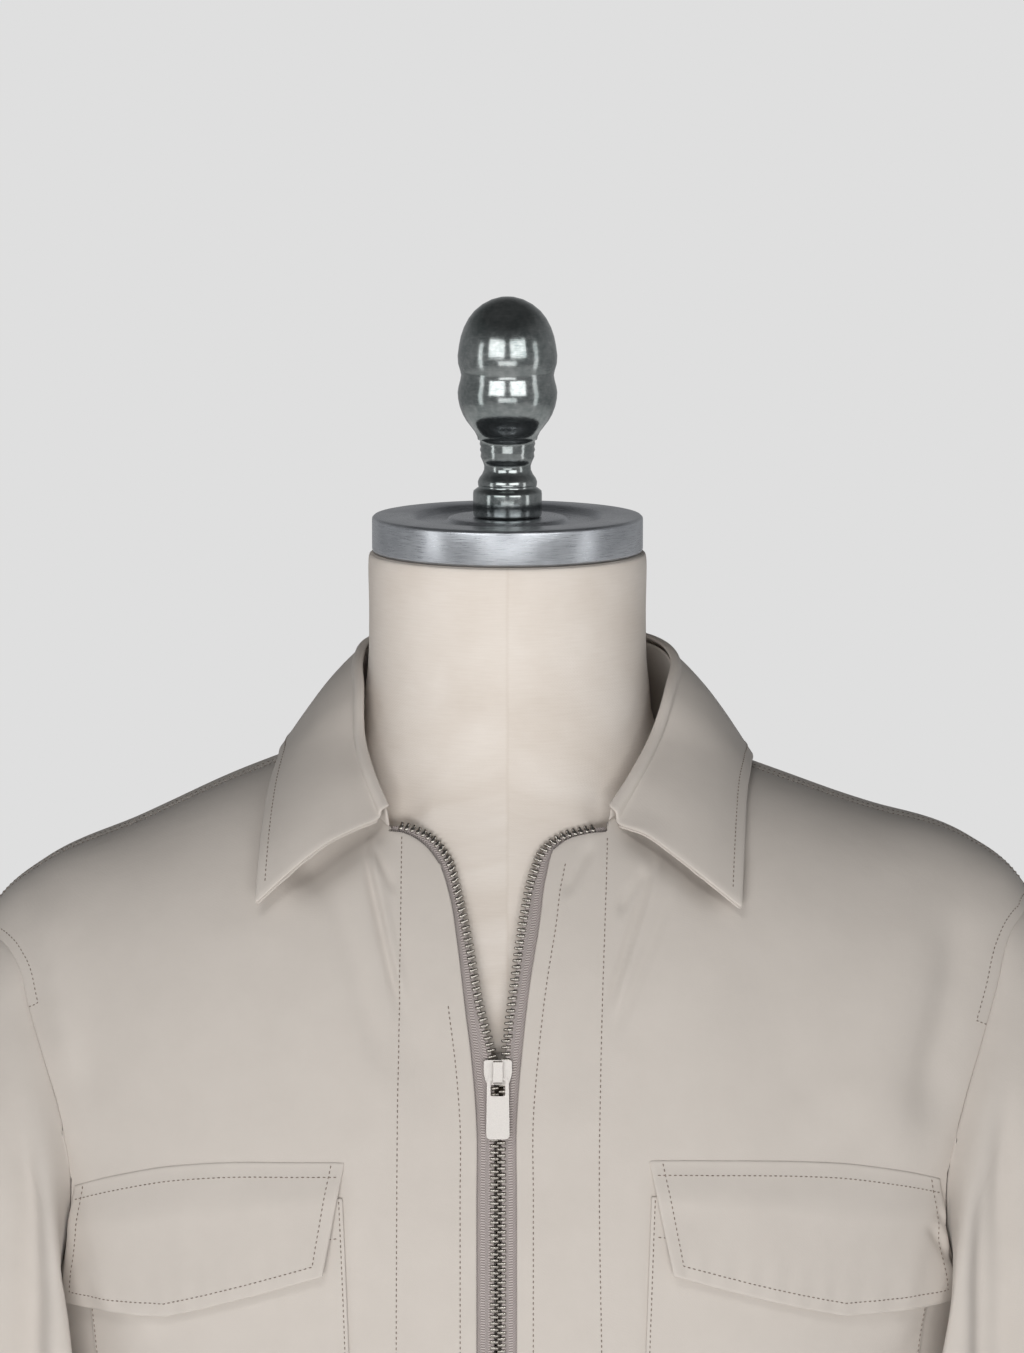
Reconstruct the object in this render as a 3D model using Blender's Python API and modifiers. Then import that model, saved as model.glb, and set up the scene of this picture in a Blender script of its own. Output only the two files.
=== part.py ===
"""A zip-front overshirt worn on a linen dress form, as separate solids.

Metres, +Z up, origin on the floor under the middle of the round base. The front
faces -Y. Sizes of the cloth and the form are given as a drop below the top of the
form's neck and a distance out from the form's axis.

The cloth of the body is one smooth surface with two coordinates: an angle, 0 at the
middle of the front or back and 90 degrees at the side seam, and a level, 0 on the
shoulder line, 1 at the depth of the chest, and more below it. Every panel, pocket
and flap takes its points from that surface.
"""
import math
from collections import namedtuple

import bmesh
import bpy
import numpy as np
from mathutils import Matrix, Vector

# ---------------------------------------------------------------- driving sizes
NECK_TOP = 1.040            # height of the top of the form's neck above the floor
WALL = 0.0012               # thickness of the cloth solids
TAPE_WALL = 0.0010          # thickness of the zip tape
SEAM_GAP = 0.0003           # gap between pieces that meet
SHOULDER_SEAT = 0.0008      # gap between the cloth and the form along the shoulders

CHEST_DROP = 0.350          # drop at which the chest has its full depth: level 1
LEVEL_STEP = 0.250          # drop from one level to the next below the chest
HEM_DROP = 0.800
SQUARENESS = 2.3            # exponent of the body's oval section
FRONT_RISE = 2.2            # how fast the front gets deep below the shoulder line
BACK_RISE = 3.0
FRONT_DEPTH = 0.135
BACK_DEPTH = 0.118

Shoulder = namedtuple("Shoulder", "out drop")
SHOULDER_LINE = (
    Shoulder(0.000, 0.066),
    Shoulder(0.060, 0.078),
    Shoulder(0.110, 0.0965),
    Shoulder(0.162, 0.117),
    Shoulder(0.205, 0.1335),
    Shoulder(0.222, 0.146),
    Shoulder(0.240, 0.170),
)

SHOULDER_LEAN = 0.0055      # how much lower the right shoulder's end lies, and higher the left's
LEAN_START = 0.100          # distance from the axis at which the lean begins
LEAN_RUN = 0.130            # distance over which it grows to its full amount

Girth = namedtuple("Girth", "level half_width front back")
GIRTHS = (
    Girth(0.0, 0.2500, 0.135, 0.118),
    Girth(0.5, 0.2310, 0.135, 0.118),
    Girth(1.0, 0.2140, 0.135, 0.118),
    Girth(1.4, 0.2090, 0.134, 0.116),
    Girth(1.9, 0.2070, 0.131, 0.114),
    Girth(2.4, 0.2085, 0.129, 0.116),
    Girth(2.8, 0.2110, 0.128, 0.119),
)

Armhole = namedtuple("Armhole", "level front_out back_out")
ARMHOLE = (
    Armhole(0.00, 0.2320, 0.2320),
    Armhole(0.004, 0.2316, 0.2318),
    Armhole(0.04, 0.2280, 0.2298),
    Armhole(0.13, 0.2190, 0.2240),
    Armhole(0.24, 0.2130, 0.2190),
    Armhole(0.36, 0.2055, 0.2145),
    Armhole(0.48, 0.1975, 0.2105),
    Armhole(0.607, 0.1905, 0.2070),
    Armhole(0.70, 0.1900, 0.2050),
    Armhole(0.80, 0.1940, 0.2055),
    Armhole(0.90, 0.1990, 0.2070),
    Armhole(1.00, 0.2050, 0.2095),
    Armhole(1.08, 0.2100, 0.2120),
)
UNDERARM_LEVEL = 1.14
RIGHT_ARMHOLE_IN = 0.0045   # how much nearer the axis the right armhole's front lies
LOWER_LEVELS = (1.28, 1.46, 1.64, 1.82, 2.00, 2.20, 2.40, 2.60, 2.80)

# Each row of the collar: where its seam, its fold and its outer edge lie.
Collar = namedtuple("Collar", "name seam_x seam_y fold_x fold_y fold_drop edge_x edge_y lift shift")
COLLAR = (
    Collar("back", 0.0000, 0.0765, 0.0000, 0.0745, 0.0450, 0.0000, 0.0860, 0.0070, 0.0000),
    Collar("back_side", 0.0400, 0.0660, 0.0360, 0.0655, 0.0450, 0.0520, 0.0790, 0.0050, 0.0000),
    Collar("back_shoulder", 0.0680, 0.0360, 0.0600, 0.0360, 0.0460, 0.0880, 0.0500, 0.0040, 0.0020),
    Collar("side", 0.0780, 0.0040, 0.0675, 0.0020, 0.0500, 0.1020, 0.0100, 0.0030, 0.0040),
    Collar("front_shoulder", 0.0765, -0.0220, 0.0655, -0.0240, 0.0600, 0.1030, -0.0180, 0.0030, 0.0030),
    Collar("front_side", 0.0705, -0.0420, 0.0620, -0.0420, 0.0770, 0.1035, -0.0420, 0.0034, 0.0000),
    Collar("front_turn", 0.0600, -0.0585, 0.0560, -0.0575, 0.0900, 0.1037, -0.0620, 0.0040, -0.0020),
    Collar("front_end", 0.0467, -0.0717, 0.0477, -0.0700, 0.1010, 0.1037, -0.0812, 0.0045, -0.0037),
)
LEAF_REACH = 0.0040         # how far the fold stands out from the stand
LEAF_CLEAR = 0.0024         # height of the leaf's outer face above the shoulder cloth
LEAF_SLOPE = 1.5            # steepness of the chest, where the height is measured straight up
LEAF_BULGE = 0.004          # how far the leaf bows up between its fold and its edge
LEAF_RISE = 0.0035          # how much further the leaf stays from the cloth near its fold
CREST_BACK = 0.0004         # how far the leaf's first row lies behind the stand's top edge
TURN_DOWN = 0.0012          # how far the leaf has fallen where it turns down
COLLAR_RAISE = 1.6 * SEAM_GAP    # height of the stand's seam above the panels' outer face

# The zip's two lines: the panel's folded edge and the row of teeth on the tape.
Zip = namedtuple("Zip", "name edge_x edge_drop teeth_x teeth_drop")
ZIP_RIGHT_HAND = (
    Zip("corner", -0.0515, 0.1110, -0.0505, 0.1085),
    Zip("curl_a", -0.0430, 0.1128, -0.0412, 0.1098),
    Zip("curl_b", -0.0352, 0.1170, -0.0325, 0.1135),
    Zip("curl_c", -0.0290, 0.1245, -0.0255, 0.1215),
    Zip("upper", -0.0245, 0.1370, -0.0212, 0.1350),
    Zip("middle", -0.0212, 0.1560, -0.0167, 0.1545),
    Zip("lower", -0.0180, 0.1810, -0.0122, 0.1790),
    Zip("slider", -0.0148, 0.2060, -0.0062, 0.2040),
    Zip("closed", -0.0130, 0.2300, -0.0056, 0.2300),
    Zip("straight", -0.0130, 0.2600, -0.0056, 0.2600),
    Zip("hem", -0.0130, 0.7900, -0.0056, 0.7900),
)
ZIP_LEFT_HAND = (
    Zip("corner", 0.0435, 0.1118, 0.0425, 0.1090),
    Zip("curl_a", 0.0335, 0.1125, 0.0323, 0.1104),
    Zip("curl_b", 0.0258, 0.1145, 0.0240, 0.1124),
    Zip("curl_c", 0.0200, 0.1185, 0.0165, 0.1170),
    Zip("upper", 0.0165, 0.1290, 0.0112, 0.1272),
    Zip("middle", 0.0138, 0.1470, 0.0068, 0.1460),
    Zip("lower", 0.0100, 0.1690, 0.0034, 0.1690),
    Zip("slider", 0.0062, 0.2000, -0.0006, 0.2000),
    Zip("closed", 0.0040, 0.2270, -0.0024, 0.2270),
    Zip("straight", 0.0040, 0.2600, -0.0024, 0.2600),
    Zip("hem", 0.0040, 0.7900, -0.0024, 0.7900),
)
TAPE_TUCK = 0.0100          # width of tape hidden behind the panel
TAPE_DEPTH = WALL + 0.0009  # depth of the tape's outer face below the panel's outer face
CURL_STATION = 3            # the station where the zip's top curl turns downward

# Chest pockets and their flaps: angles of the sides and levels of the edges.
POCKET_ANGLES = (14.0, 20.0, 26.0, 32.0, 38.0, 45.6, 53.2)
POCKET_LEVELS = (0.668, 0.70, 0.80, 0.90, 1.00, 1.08, 1.14, 1.26)
POCKET_SHIFT = 1.1          # turn in degrees of both pockets' inner edges toward the right
YOKE_LEVEL = 0.607          # level of the row at the flaps' top
Flap = namedtuple("Flap", "top_angle top_level bottom_angle bottom_level")
FLAP_EDGE = (
    Flap(13.6, 0.613, 16.4, 0.788),
    Flap(20.0, 0.603, 20.8, 0.804),
    Flap(26.0, 0.594, 26.2, 0.822),
    Flap(32.0, 0.589, 32.0, 0.840),
    Flap(38.0, 0.589, 38.0, 0.857),
    Flap(45.6, 0.599, 46.8, 0.856),
    Flap(53.2, 0.618, 58.0, 0.850),
)
FLAP_ROWS = 5
LAYER = WALL + SEAM_GAP     # height from one layer of cloth to the next
FLAP_SPARE = 0.0007         # extra height of the flap over the pocket

# The sleeve leaves the armhole along these directions, from its top to the underarm.
Head = namedtuple("Head", "share out face down reach")
SLEEVE_HEAD = (
    Head(0.00, 0.62, 0.00, 0.78, 0.070),
    Head(0.25, 0.80, 0.25, 0.55, 0.050),
    Head(0.50, 0.50, 0.72, 0.45, 0.036),
    Head(0.70, 0.12, 0.90, 0.40, 0.030),
    Head(0.88, 0.45, 0.75, 0.35, 0.022),
    Head(1.00, 0.95, 0.05, 0.30, 0.014),
)
Sleeve = namedtuple("Sleeve", "name drop centre_x centre_y half_width half_depth swing")
SLEEVE = (
    Sleeve("upper_arm", 0.440, 0.2480, -0.040, 0.0410, 0.0740, 0.062),
    Sleeve("above_elbow", 0.510, 0.2490, -0.041, 0.0390, 0.0700, 0.050),
    Sleeve("elbow", 0.580, 0.2510, -0.043, 0.0360, 0.0650, 0.034),
    Sleeve("forearm", 0.660, 0.2530, -0.046, 0.0325, 0.0580, 0.018),
    Sleeve("cuff", 0.745, 0.2545, -0.048, 0.0300, 0.0530, 0.008),
)
HEAD_ROWS = 8               # rings between the armhole and the upper arm
ARM_DROP = 0.120            # length over which the sleeve turns to hang straight
SLEEVE_CLEAR = 0.0052       # gap between the sleeve and the side of the body
CLEAR_SOFTNESS = 0.02       # how gently the sleeve is turned aside by the body

# Soft folds: a run from (x0, drop0) to (x1, drop1), its half width and its height.
Fold = namedtuple("Fold", "name face x0 drop0 x1 drop1 width height")
FOLDS = (
    Fold("left_chest_trough", "front", 0.196, 0.160, 0.176, 0.235, 0.013, -0.0024),
    Fold("left_chest_ridge", "front", 0.176, 0.150, 0.152, 0.235, 0.014, 0.0018),
    Fold("right_chest_ridge", "front", -0.198, 0.150, -0.186, 0.215, 0.009, 0.0024),
    Fold("collar_fall_left", "front", 0.060, 0.125, 0.030, 0.215, 0.009, -0.0016),
    Fold("collar_fall_right", "front", -0.060, 0.122, -0.034, 0.220, 0.011, -0.0022),
    Fold("left_hip_drape", "front", 0.150, 0.470, 0.125, 0.790, 0.022, -0.0060),
    Fold("right_hip_drape", "front", -0.145, 0.500, -0.130, 0.790, 0.024, -0.0055),
    Fold("back_left_drape", "back", 0.110, 0.380, 0.085, 0.790, 0.024, -0.0060),
    Fold("back_right_drape", "back", -0.095, 0.420, -0.085, 0.790, 0.022, -0.0055),
    Fold("back_shoulder_left", "back", 0.190, 0.200, 0.150, 0.330, 0.012, 0.0028),
    Fold("back_shoulder_right", "back", -0.190, 0.190, -0.155, 0.320, 0.012, 0.0028),
)

# The dress form's torso: one ring per row, with its size and drop at the side, front and back.
Ring = namedtuple("Ring", "name half_width side_drop front front_drop back back_drop square")
TORSO = (
    Ring("neck_rim", 0.0590, 0.0004, 0.0590, 0.0004, 0.0590, 0.0004, 2.0),
    Ring("neck_roll", 0.0610, 0.0040, 0.0610, 0.0040, 0.0610, 0.0040, 2.0),
    Ring("neck_middle", 0.0608, 0.0300, 0.0608, 0.0300, 0.0608, 0.0300, 2.0),
    Ring("neck_low", 0.0620, 0.0560, 0.0625, 0.0620, 0.0630, 0.0540, 2.0),
    Ring("neck_base", 0.0690, 0.0830, 0.0690, 0.0980, 0.0690, 0.0820, 2.05),
    Ring("yoke", 0.1050, 0.0980, 0.0830, 0.1300, 0.0850, 0.1090, 2.1),
    Ring("shoulder", 0.1500, 0.1140, 0.0960, 0.1650, 0.0940, 0.1450, 2.2),
    Ring("shoulder_end", 0.1900, 0.1300, 0.1060, 0.2050, 0.1000, 0.1850, 2.3),
    Ring("arm_top", 0.2080, 0.1560, 0.1120, 0.2500, 0.1030, 0.2350, 2.35),
    Ring("arm_plate", 0.2040, 0.2050, 0.1160, 0.2900, 0.1040, 0.2800, 2.35),
    Ring("chest", 0.1900, 0.2900, 0.1180, 0.3300, 0.1030, 0.3200, 2.35),
    Ring("ribs", 0.1720, 0.3800, 0.1160, 0.3900, 0.1000, 0.3900, 2.3),
    Ring("waist", 0.1560, 0.5000, 0.1030, 0.5000, 0.0900, 0.5000, 2.2),
    Ring("hip", 0.1680, 0.6300, 0.1040, 0.6300, 0.0980, 0.6300, 2.2),
    Ring("seat", 0.1760, 0.7200, 0.1060, 0.7200, 0.1040, 0.7200, 2.2),
    Ring("foot", 0.1730, 0.8220, 0.1040, 0.8220, 0.1020, 0.8220, 2.2),
    Ring("foot_edge", 0.1660, 0.8300, 0.0970, 0.8300, 0.0950, 0.8300, 2.2),
)
TORSO_SIDES = 32
TORSO_SADDLE = 1.7          # how fast a ring falls from the shoulder to the chest
FORM_CLEAR = 0.0052         # extra gap between the form and the cloth beside the shoulder line
SEAT_WIDTH = 0.012          # distance from the shoulder line at which that gap is full
SEAT_START = 0.100          # distance from the axis at which the cloth begins to rest
SEAT_REACH = 0.010          # how near the cloth a point of the form is to be seated
SEAT_END = 0.165            # distance from the axis at which it ends
NECK_RADIUS = 0.066         # radius beyond which the form lies under cloth

# Turned metal, as (radius, height) from the top of each piece down.
CAP_PROFILE = (
    (0.0000, 0.0150), (0.0150, 0.0150), (0.0250, 0.0132), (0.0270, 0.0145),
    (0.0400, 0.0145), (0.0430, 0.0157), (0.0582, 0.0157), (0.0594, 0.0145),
    (0.0594, 0.0010), (0.0584, 0.0000), (0.0000, 0.0000),
)
FINIAL_PROFILE = (
    (0.0000, 0.0963), (0.0070, 0.0952), (0.0139, 0.0908), (0.0188, 0.0836),
    (0.0210, 0.0762), (0.0218, 0.0700), (0.0204, 0.0618), (0.0217, 0.0540),
    (0.0208, 0.0480), (0.0184, 0.0432), (0.0150, 0.0380), (0.0128, 0.0340),
    (0.0120, 0.0300), (0.0120, 0.0255), (0.0102, 0.0220), (0.0112, 0.0180),
    (0.0128, 0.0160), (0.0130, 0.0130), (0.0151, 0.0108), (0.0151, 0.0008),
    (0.0143, 0.0000), (0.0000, 0.0000),
)
CAP_DISH = 0.0150           # height of the cap's middle, where the finial stands
POLE_RADIUS = 0.0140
FLANGE_RADIUS = 0.0550
FLANGE_HEIGHT = 0.0100
BASE_RADIUS = 0.1900
BASE_HEIGHT = 0.0120
BASE_HUB = 0.0220           # height of the hub that holds the pole above the base plate
HUB_WALL = 0.0120           # thickness of the hub round the pole
HUB_BEVEL = 0.0040          # bevel at the hub's top and the fillet at its foot
BASE_DIP = 0.0020           # how far the plate falls from the hub toward its rim
RIM_ROUND = ((0.0040, 0.0050), (0.0000, 0.0090))     # inset and fall of the rim's rounding
FLANGE_TAPER = 0.0080       # how far the flange's foot stands out from the pole
TURNED_STEPS = 32

# The zip's hard pieces.
SLIDER_DROP = 0.2026        # drop of the slider's top
SLIDER_X = -0.0040
SLIDER_WIDTH = 0.0120
SLIDER_LENGTH = 0.0105
SLIDER_PLATE = 0.0014
BAIL_WIDTH = 0.0040
BAIL_WALL = 0.0011
BAIL_SPAN = (0.0004, 0.0101)     # where the bail starts and ends along the slider
TAB_WALL = 0.0012
TAB_BAR = 0.0013            # width of the bar at the tab's top
TAB_LENGTH = 0.0262
TAB_TOP_WIDTH = 0.0092
TAB_END_WIDTH = 0.0100
WINDOW_WIDTH = 0.0062
WINDOW_LENGTH = 0.0066
POST_SIZE = (0.0024, 0.0030)     # width and length of the post between the slider's plates
BACK_PLATE_DEPTH = 0.0034        # depth of the back plate's outer face below the panels
PLATE_SET = -0.0012              # the front plate's back face, from the panels' outer face
BAR_ROOM = 0.00098               # room round the middle of the tab's bar
PLATE_ROUND = 0.0012             # rounding of the slider's corners
PLATE_TAPER = (0.55, 0.78)       # share of the length where the sides turn in, and of the width at the end
POST_SET = 0.0005                # how far the post stands to the left of the slider's middle
BAIL_FOOT = 0.0005               # how deep the bail's feet stand in the front plate
BAIL_BEVEL = 0.0006
TAB_ROUND = 0.0022               # rounding of the tab's corners
BOX_SIZE = (0.0090, 0.0030, 0.0080)
BOX_BEVEL = 0.0005

# Grid sizes of the panels
CURL_COLUMNS = 2            # columns along the curl at the top of the zip
NECK_COLUMNS = 5
FRONT_INNER_ANGLES = (4.5, 8.5)
SIDE_COLUMNS = 4
BACK_NECK_COLUMNS = 4
BACK_COLUMNS = 11
YOKE_ROWS = 7               # rows from the shoulder line down to the flap's level

Look = namedtuple("Look", "color roughness metallic")
LOOKS = {
    "cloth": Look((0.56, 0.52, 0.48), 0.75, 0.0),
    "tape": Look((0.30, 0.27, 0.27), 0.85, 0.0),
    "linen": Look((0.76, 0.70, 0.60), 0.90, 0.0),
    "aluminium": Look((0.60, 0.61, 0.63), 0.30, 1.0),
    "cast_metal": Look((0.36, 0.38, 0.38), 0.25, 1.0),
    "zip_metal": Look((0.75, 0.74, 0.72), 0.22, 1.0),
}


# ---------------------------------------------------------------- small helpers
def smooth_line(knots, values, at):
    """Return the smooth curve through the knots' values, read at the given places."""
    knots = np.asarray(knots, float)
    values = np.asarray(values, float)
    slopes = np.gradient(values, knots)
    at = np.clip(np.asarray(at, float), knots[0], knots[-1])
    index = np.clip(np.searchsorted(knots, at, side="right") - 1, 0, len(knots) - 2)
    step = knots[index + 1] - knots[index]
    t = (at - knots[index]) / step
    start = (2 * t**3 - 3 * t**2 + 1) * values[index]
    start_slope = (t**3 - 2 * t**2 + t) * step * slopes[index]
    end = (3 * t**2 - 2 * t**3) * values[index + 1]
    end_slope = (t**3 - t**2) * step * slopes[index + 1]
    return start + start_slope + end + end_slope


def column(table, name):
    """Return one named column of a table."""
    return [getattr(row, name) for row in table]


def unit(vectors):
    """Return vectors scaled to length one."""
    return vectors / np.linalg.norm(vectors, axis=-1, keepdims=True)


def smoothstep(t):
    """Return 0 below 0, 1 above 1 and a smooth rise between."""
    t = np.clip(t, 0.0, 1.0)
    return t * t * (3.0 - 2.0 * t)


# ---------------------------------------------------------------- the body's surface
def shoulder_drop(x):
    """Drop of the shoulder line at a signed distance x from the axis."""
    lean = SHOULDER_LEAN * smoothstep((np.abs(x) - LEAN_START) / LEAN_RUN)
    drop = smooth_line(column(SHOULDER_LINE, "out"), column(SHOULDER_LINE, "drop"), np.abs(x))
    return drop - np.sign(x) * lean


def half_width(level):
    """Half width of the body at a level."""
    return smooth_line(column(GIRTHS, "level"), column(GIRTHS, "half_width"), level)


def rise(level, power):
    """Share of the full depth that the body has at a level."""
    inside = np.clip(level, 0.0, 1.0)
    return (1.0 - (1.0 - inside) ** power) ** (1.0 / power)


def depth(level, face):
    """Depth of the body in front of its axis, or behind it, at a level."""
    power = FRONT_RISE if face == "front" else BACK_RISE
    full = smooth_line(column(GIRTHS, "level"), column(GIRTHS, face), level)
    return full * rise(level, power)


def roll_of(level):
    """Turn in degrees over the shoulder that evens out the rows: 90 at level 1."""
    upper = np.degrees(np.arccos((1.0 - np.clip(level, 0.0, 1.0)) ** (FRONT_RISE / 2.0)))
    return np.where(level < 1.0, upper, 90.0 + (level - 1.0) * 60.0)


def level_of(roll):
    """Level of a turn over the shoulder."""
    upper = 1.0 - np.cos(np.radians(np.clip(roll, 0.0, 90.0))) ** (2.0 / FRONT_RISE)
    return np.where(roll < 90.0, upper, 1.0 + (roll - 90.0) / 60.0)


def drop_at(x, level):
    """Drop of a point at a signed distance x from the axis and a level."""
    top = shoulder_drop(x)
    upper = top + level * (CHEST_DROP - top)
    lower = CHEST_DROP + (level - 1.0) * LEVEL_STEP
    return np.where(level < 1.0, upper, lower)


def level_at(x, drop):
    """Level of a point at a signed distance x from the axis and a drop."""
    top = shoulder_drop(x)
    upper = (drop - top) / (CHEST_DROP - top)
    lower = 1.0 + (drop - CHEST_DROP) / LEVEL_STEP
    return np.where(drop < CHEST_DROP, np.clip(upper, 0.0, 1.0), lower)


def angle_at(x, level):
    """Angle in degrees of a point at a distance x from the axis and a level."""
    share = np.clip(np.abs(x) / half_width(level), 0.0, 1.0)
    return np.degrees(np.arcsin(share ** (SQUARENESS / 2.0)))


def plain_body(angle, level, side, face):
    """Points of the body before its folds, for angles in degrees."""
    turn = np.radians(angle)
    x = half_width(level) * np.abs(np.sin(turn)) ** (2.0 / SQUARENESS)
    y = depth(level, face) * np.clip(np.cos(turn), 0.0, 1.0) ** (2.0 / SQUARENESS)
    sign = -1.0 if face == "front" else 1.0
    return np.stack([side * x, sign * y, -drop_at(side * x, level)], axis=-1)


def fold_height(x, drop, face):
    """Height of all the soft folds of one face at given places."""
    total = np.zeros_like(x)
    for fold in (row for row in FOLDS if row.face == face):
        run = np.array([fold.x1 - fold.x0, fold.drop1 - fold.drop0])
        length = np.hypot(*run)
        along = ((x - fold.x0) * run[0] + (drop - fold.drop0) * run[1]) / length**2
        across = ((x - fold.x0) * run[1] - (drop - fold.drop0) * run[0]) / length
        ends = smoothstep((along + 0.15) / 0.35) * smoothstep((1.15 - along) / 0.35)
        total = total + fold.height * np.exp(-((across / fold.width) ** 2)) * ends
    return total


def body(angle, level, side, face, lift=0.0):
    """Points of the cloth's outer face, moved out by lift along its normal."""
    angle, level = np.broadcast_arrays(np.asarray(angle, float), np.asarray(level, float))
    point = plain_body(angle, level, side, face)
    small = 0.01
    across = plain_body(angle + small, level, side, face) - plain_body(angle - small, level, side, face)
    down = plain_body(angle, level + small, side, face) - plain_body(angle, level - small, side, face)
    normal = unit(np.cross(across, down) + 1e-12)
    outward = np.stack([point[..., 0], point[..., 1], np.full(angle.shape, 0.05)], axis=-1)
    normal = normal * np.sign(np.sum(normal * outward, axis=-1))[..., None]
    side_fade = smoothstep((88.0 - angle) / 18.0)
    height = fold_height(point[..., 0], -point[..., 2], face) * side_fade
    return point + normal * (height + lift)[..., None]


def front_point(x, drop, lift=0.0):
    """Points of the front at a signed x and a drop, moved out by lift."""
    x = np.asarray(x, float)
    drop = np.asarray(drop, float)
    level = level_at(x, drop)
    angle = np.maximum(angle_at(x, level), 0.05)
    side = np.where(x < 0.0, -1.0, 1.0)
    return body(angle, level, side, "front", lift)


def shoulder_height(x, y):
    """Height of the cloth over a place in plan, found by a short iteration."""
    face_depth = np.where(y < 0.0, FRONT_DEPTH, BACK_DEPTH)
    power = np.where(y < 0.0, FRONT_RISE, BACK_RISE)
    level = np.zeros_like(x)
    for _ in range(6):
        share = np.clip(np.abs(x) / half_width(level), 0.0, 0.999)
        oval = (1.0 - share**SQUARENESS) ** (1.0 / SQUARENESS)
        rise_needed = np.clip(np.abs(y) / (face_depth * oval), 0.0, 0.999)
        level = 1.0 - (1.0 - rise_needed**power) ** (1.0 / power)
    return -drop_at(x, level), level


# ---------------------------------------------------------------- making objects
def clear_scene():
    """Remove whatever objects the file holds."""
    for thing in list(bpy.data.objects):
        bpy.data.objects.remove(thing, do_unlink=True)


def finish_for(look_name):
    """Return the Principled material of that name."""
    material = bpy.data.materials.get(look_name) or bpy.data.materials.new(look_name)
    look = LOOKS[look_name]
    material.use_nodes = True
    shader = material.node_tree.nodes["Principled BSDF"]
    shader.inputs["Base Color"].default_value = (*look.color, 1.0)
    shader.inputs["Roughness"].default_value = look.roughness
    shader.inputs["Metallic"].default_value = look.metallic
    return material


def link(name, data, look_name, collection):
    """Make an object of the data with its own material, in the collection."""
    thing = bpy.data.objects.new(name, data)
    collection.objects.link(thing)
    material = finish_for(look_name).copy()
    material.name = f"{look_name}_{name}"
    thing.data.materials.append(material)
    return thing


def grid_mesh(name, points, closed=False):
    """Make an open surface from a grid of points, rows down and columns across."""
    rows, columns, _ = points.shape
    points = points + np.array([0.0, 0.0, NECK_TOP])
    faces = []
    for row in range(rows - 1):
        for step in range(columns if closed else columns - 1):
            after = (step + 1) % columns
            faces.append((row * columns + step, (row + 1) * columns + step,
                          (row + 1) * columns + after, row * columns + after))
    mesh = bpy.data.meshes.new(name)
    mesh.from_pydata(points.reshape(-1, 3).tolist(), [], faces)
    mesh.update()
    return mesh


def cloth(name, points, collection, closed=False, wall=WALL, look_name="cloth"):
    """Make a cloth wall whose outer face holds the grid's points."""
    thing = link(name, grid_mesh(name, points, closed), look_name, collection)
    shell = thing.modifiers.new("wall", "SOLIDIFY")
    shell.thickness = wall
    shell.offset = -1.0
    shell.use_even_offset = True
    shell.use_quality_normals = True
    return thing


def turned(name, profile, base_height, look_name, collection):
    """Turn a (radius, height) profile round the axis, standing at a height."""
    mesh = bpy.data.meshes.new(name)
    points = [(radius, 0.0, base_height + height) for radius, height in profile]
    mesh.from_pydata(points, [(i, i + 1) for i in range(len(points) - 1)], [])
    thing = link(name, mesh, look_name, collection)
    screw = thing.modifiers.new("turn", "SCREW")
    screw.steps = TURNED_STEPS
    screw.render_steps = TURNED_STEPS
    screw.use_merge_vertices = True
    screw.merge_threshold = 0.00001
    return thing


# ---------------------------------------------------------------- panels
def collar_station(share, side):
    """Return the collar's seam, fold and edge at a share from the back to the front end."""
    knots = np.linspace(0.0, 1.0, len(COLLAR))
    read = {name: smooth_line(knots, column(COLLAR, name), share) for name in Collar._fields[1:]}
    seam = np.stack([side * read["seam_x"] + read["shift"], read["seam_y"]], axis=-1)
    fold = np.stack([side * read["fold_x"] + read["shift"], read["fold_y"]], axis=-1)
    edge = np.stack([side * read["edge_x"] + read["shift"], read["edge_y"]], axis=-1)
    return seam, fold, read["fold_drop"], edge, read["lift"]


def seam_share_at_shoulder(side):
    """Share along the collar at which its seam crosses the shoulder seam."""
    low, high = 0.0, 1.0
    for _ in range(40):
        middle = (low + high) / 2.0
        seam = collar_station(np.array([middle]), side)[0]
        low, high = (middle, high) if seam[0, 1] > 0.0 else (low, middle)
    return low


def armhole_levels():
    """Levels of the armhole's rows, from the shoulder to the underarm."""
    return np.array(column(ARMHOLE, "level") + [UNDERARM_LEVEL])


def armhole_angles(face, side):
    """Angles of the armhole's rows on one face and side."""
    outs = np.array(column(ARMHOLE, f"{face}_out"))
    levels = np.array(column(ARMHOLE, "level"))
    if side < 0 and face == "front":
        outs = outs - RIGHT_ARMHOLE_IN * smoothstep(levels / 0.2) * smoothstep((0.75 - levels) / 0.3)
    return np.append(angle_at(outs, levels), 90.0)


def coons(top, bottom, left, right):
    """Fill a patch between four edges, as a grid of (angle, level) pairs."""
    edges = [np.column_stack([edge[:, 0], roll_of(edge[:, 1])]) for edge in (top, bottom, left, right)]
    top, bottom, left, right = edges
    rows, columns = len(left), len(top)
    v = np.linspace(0.0, 1.0, rows)[:, None, None]
    u = np.linspace(0.0, 1.0, columns)[None, :, None]
    across = (1 - u) * left[:, None, :] + u * right[:, None, :]
    down = (1 - v) * top[None, :, :] + v * bottom[None, :, :]
    corners = ((1 - u) * (1 - v) * top[0] + u * (1 - v) * top[-1]
               + (1 - u) * v * bottom[0] + u * v * bottom[-1])
    patch = across + down - corners
    patch[..., 1] = level_of(patch[..., 1])
    return patch


def zip_knots(stations):
    """Running length of the panel's edge along the zip's stations."""
    steps = np.hypot(np.diff(column(stations, "edge_x")), np.diff(column(stations, "edge_drop")))
    return np.concatenate([[0.0], np.cumsum(steps)])


def zip_curve(stations, places, which):
    """Points (x, drop) of a zip line at places along the panel's edge."""
    knots = zip_knots(stations)
    return np.stack([smooth_line(knots, column(stations, f"{which}_x"), places),
                     smooth_line(knots, column(stations, f"{which}_drop"), places)], axis=-1)


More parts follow.
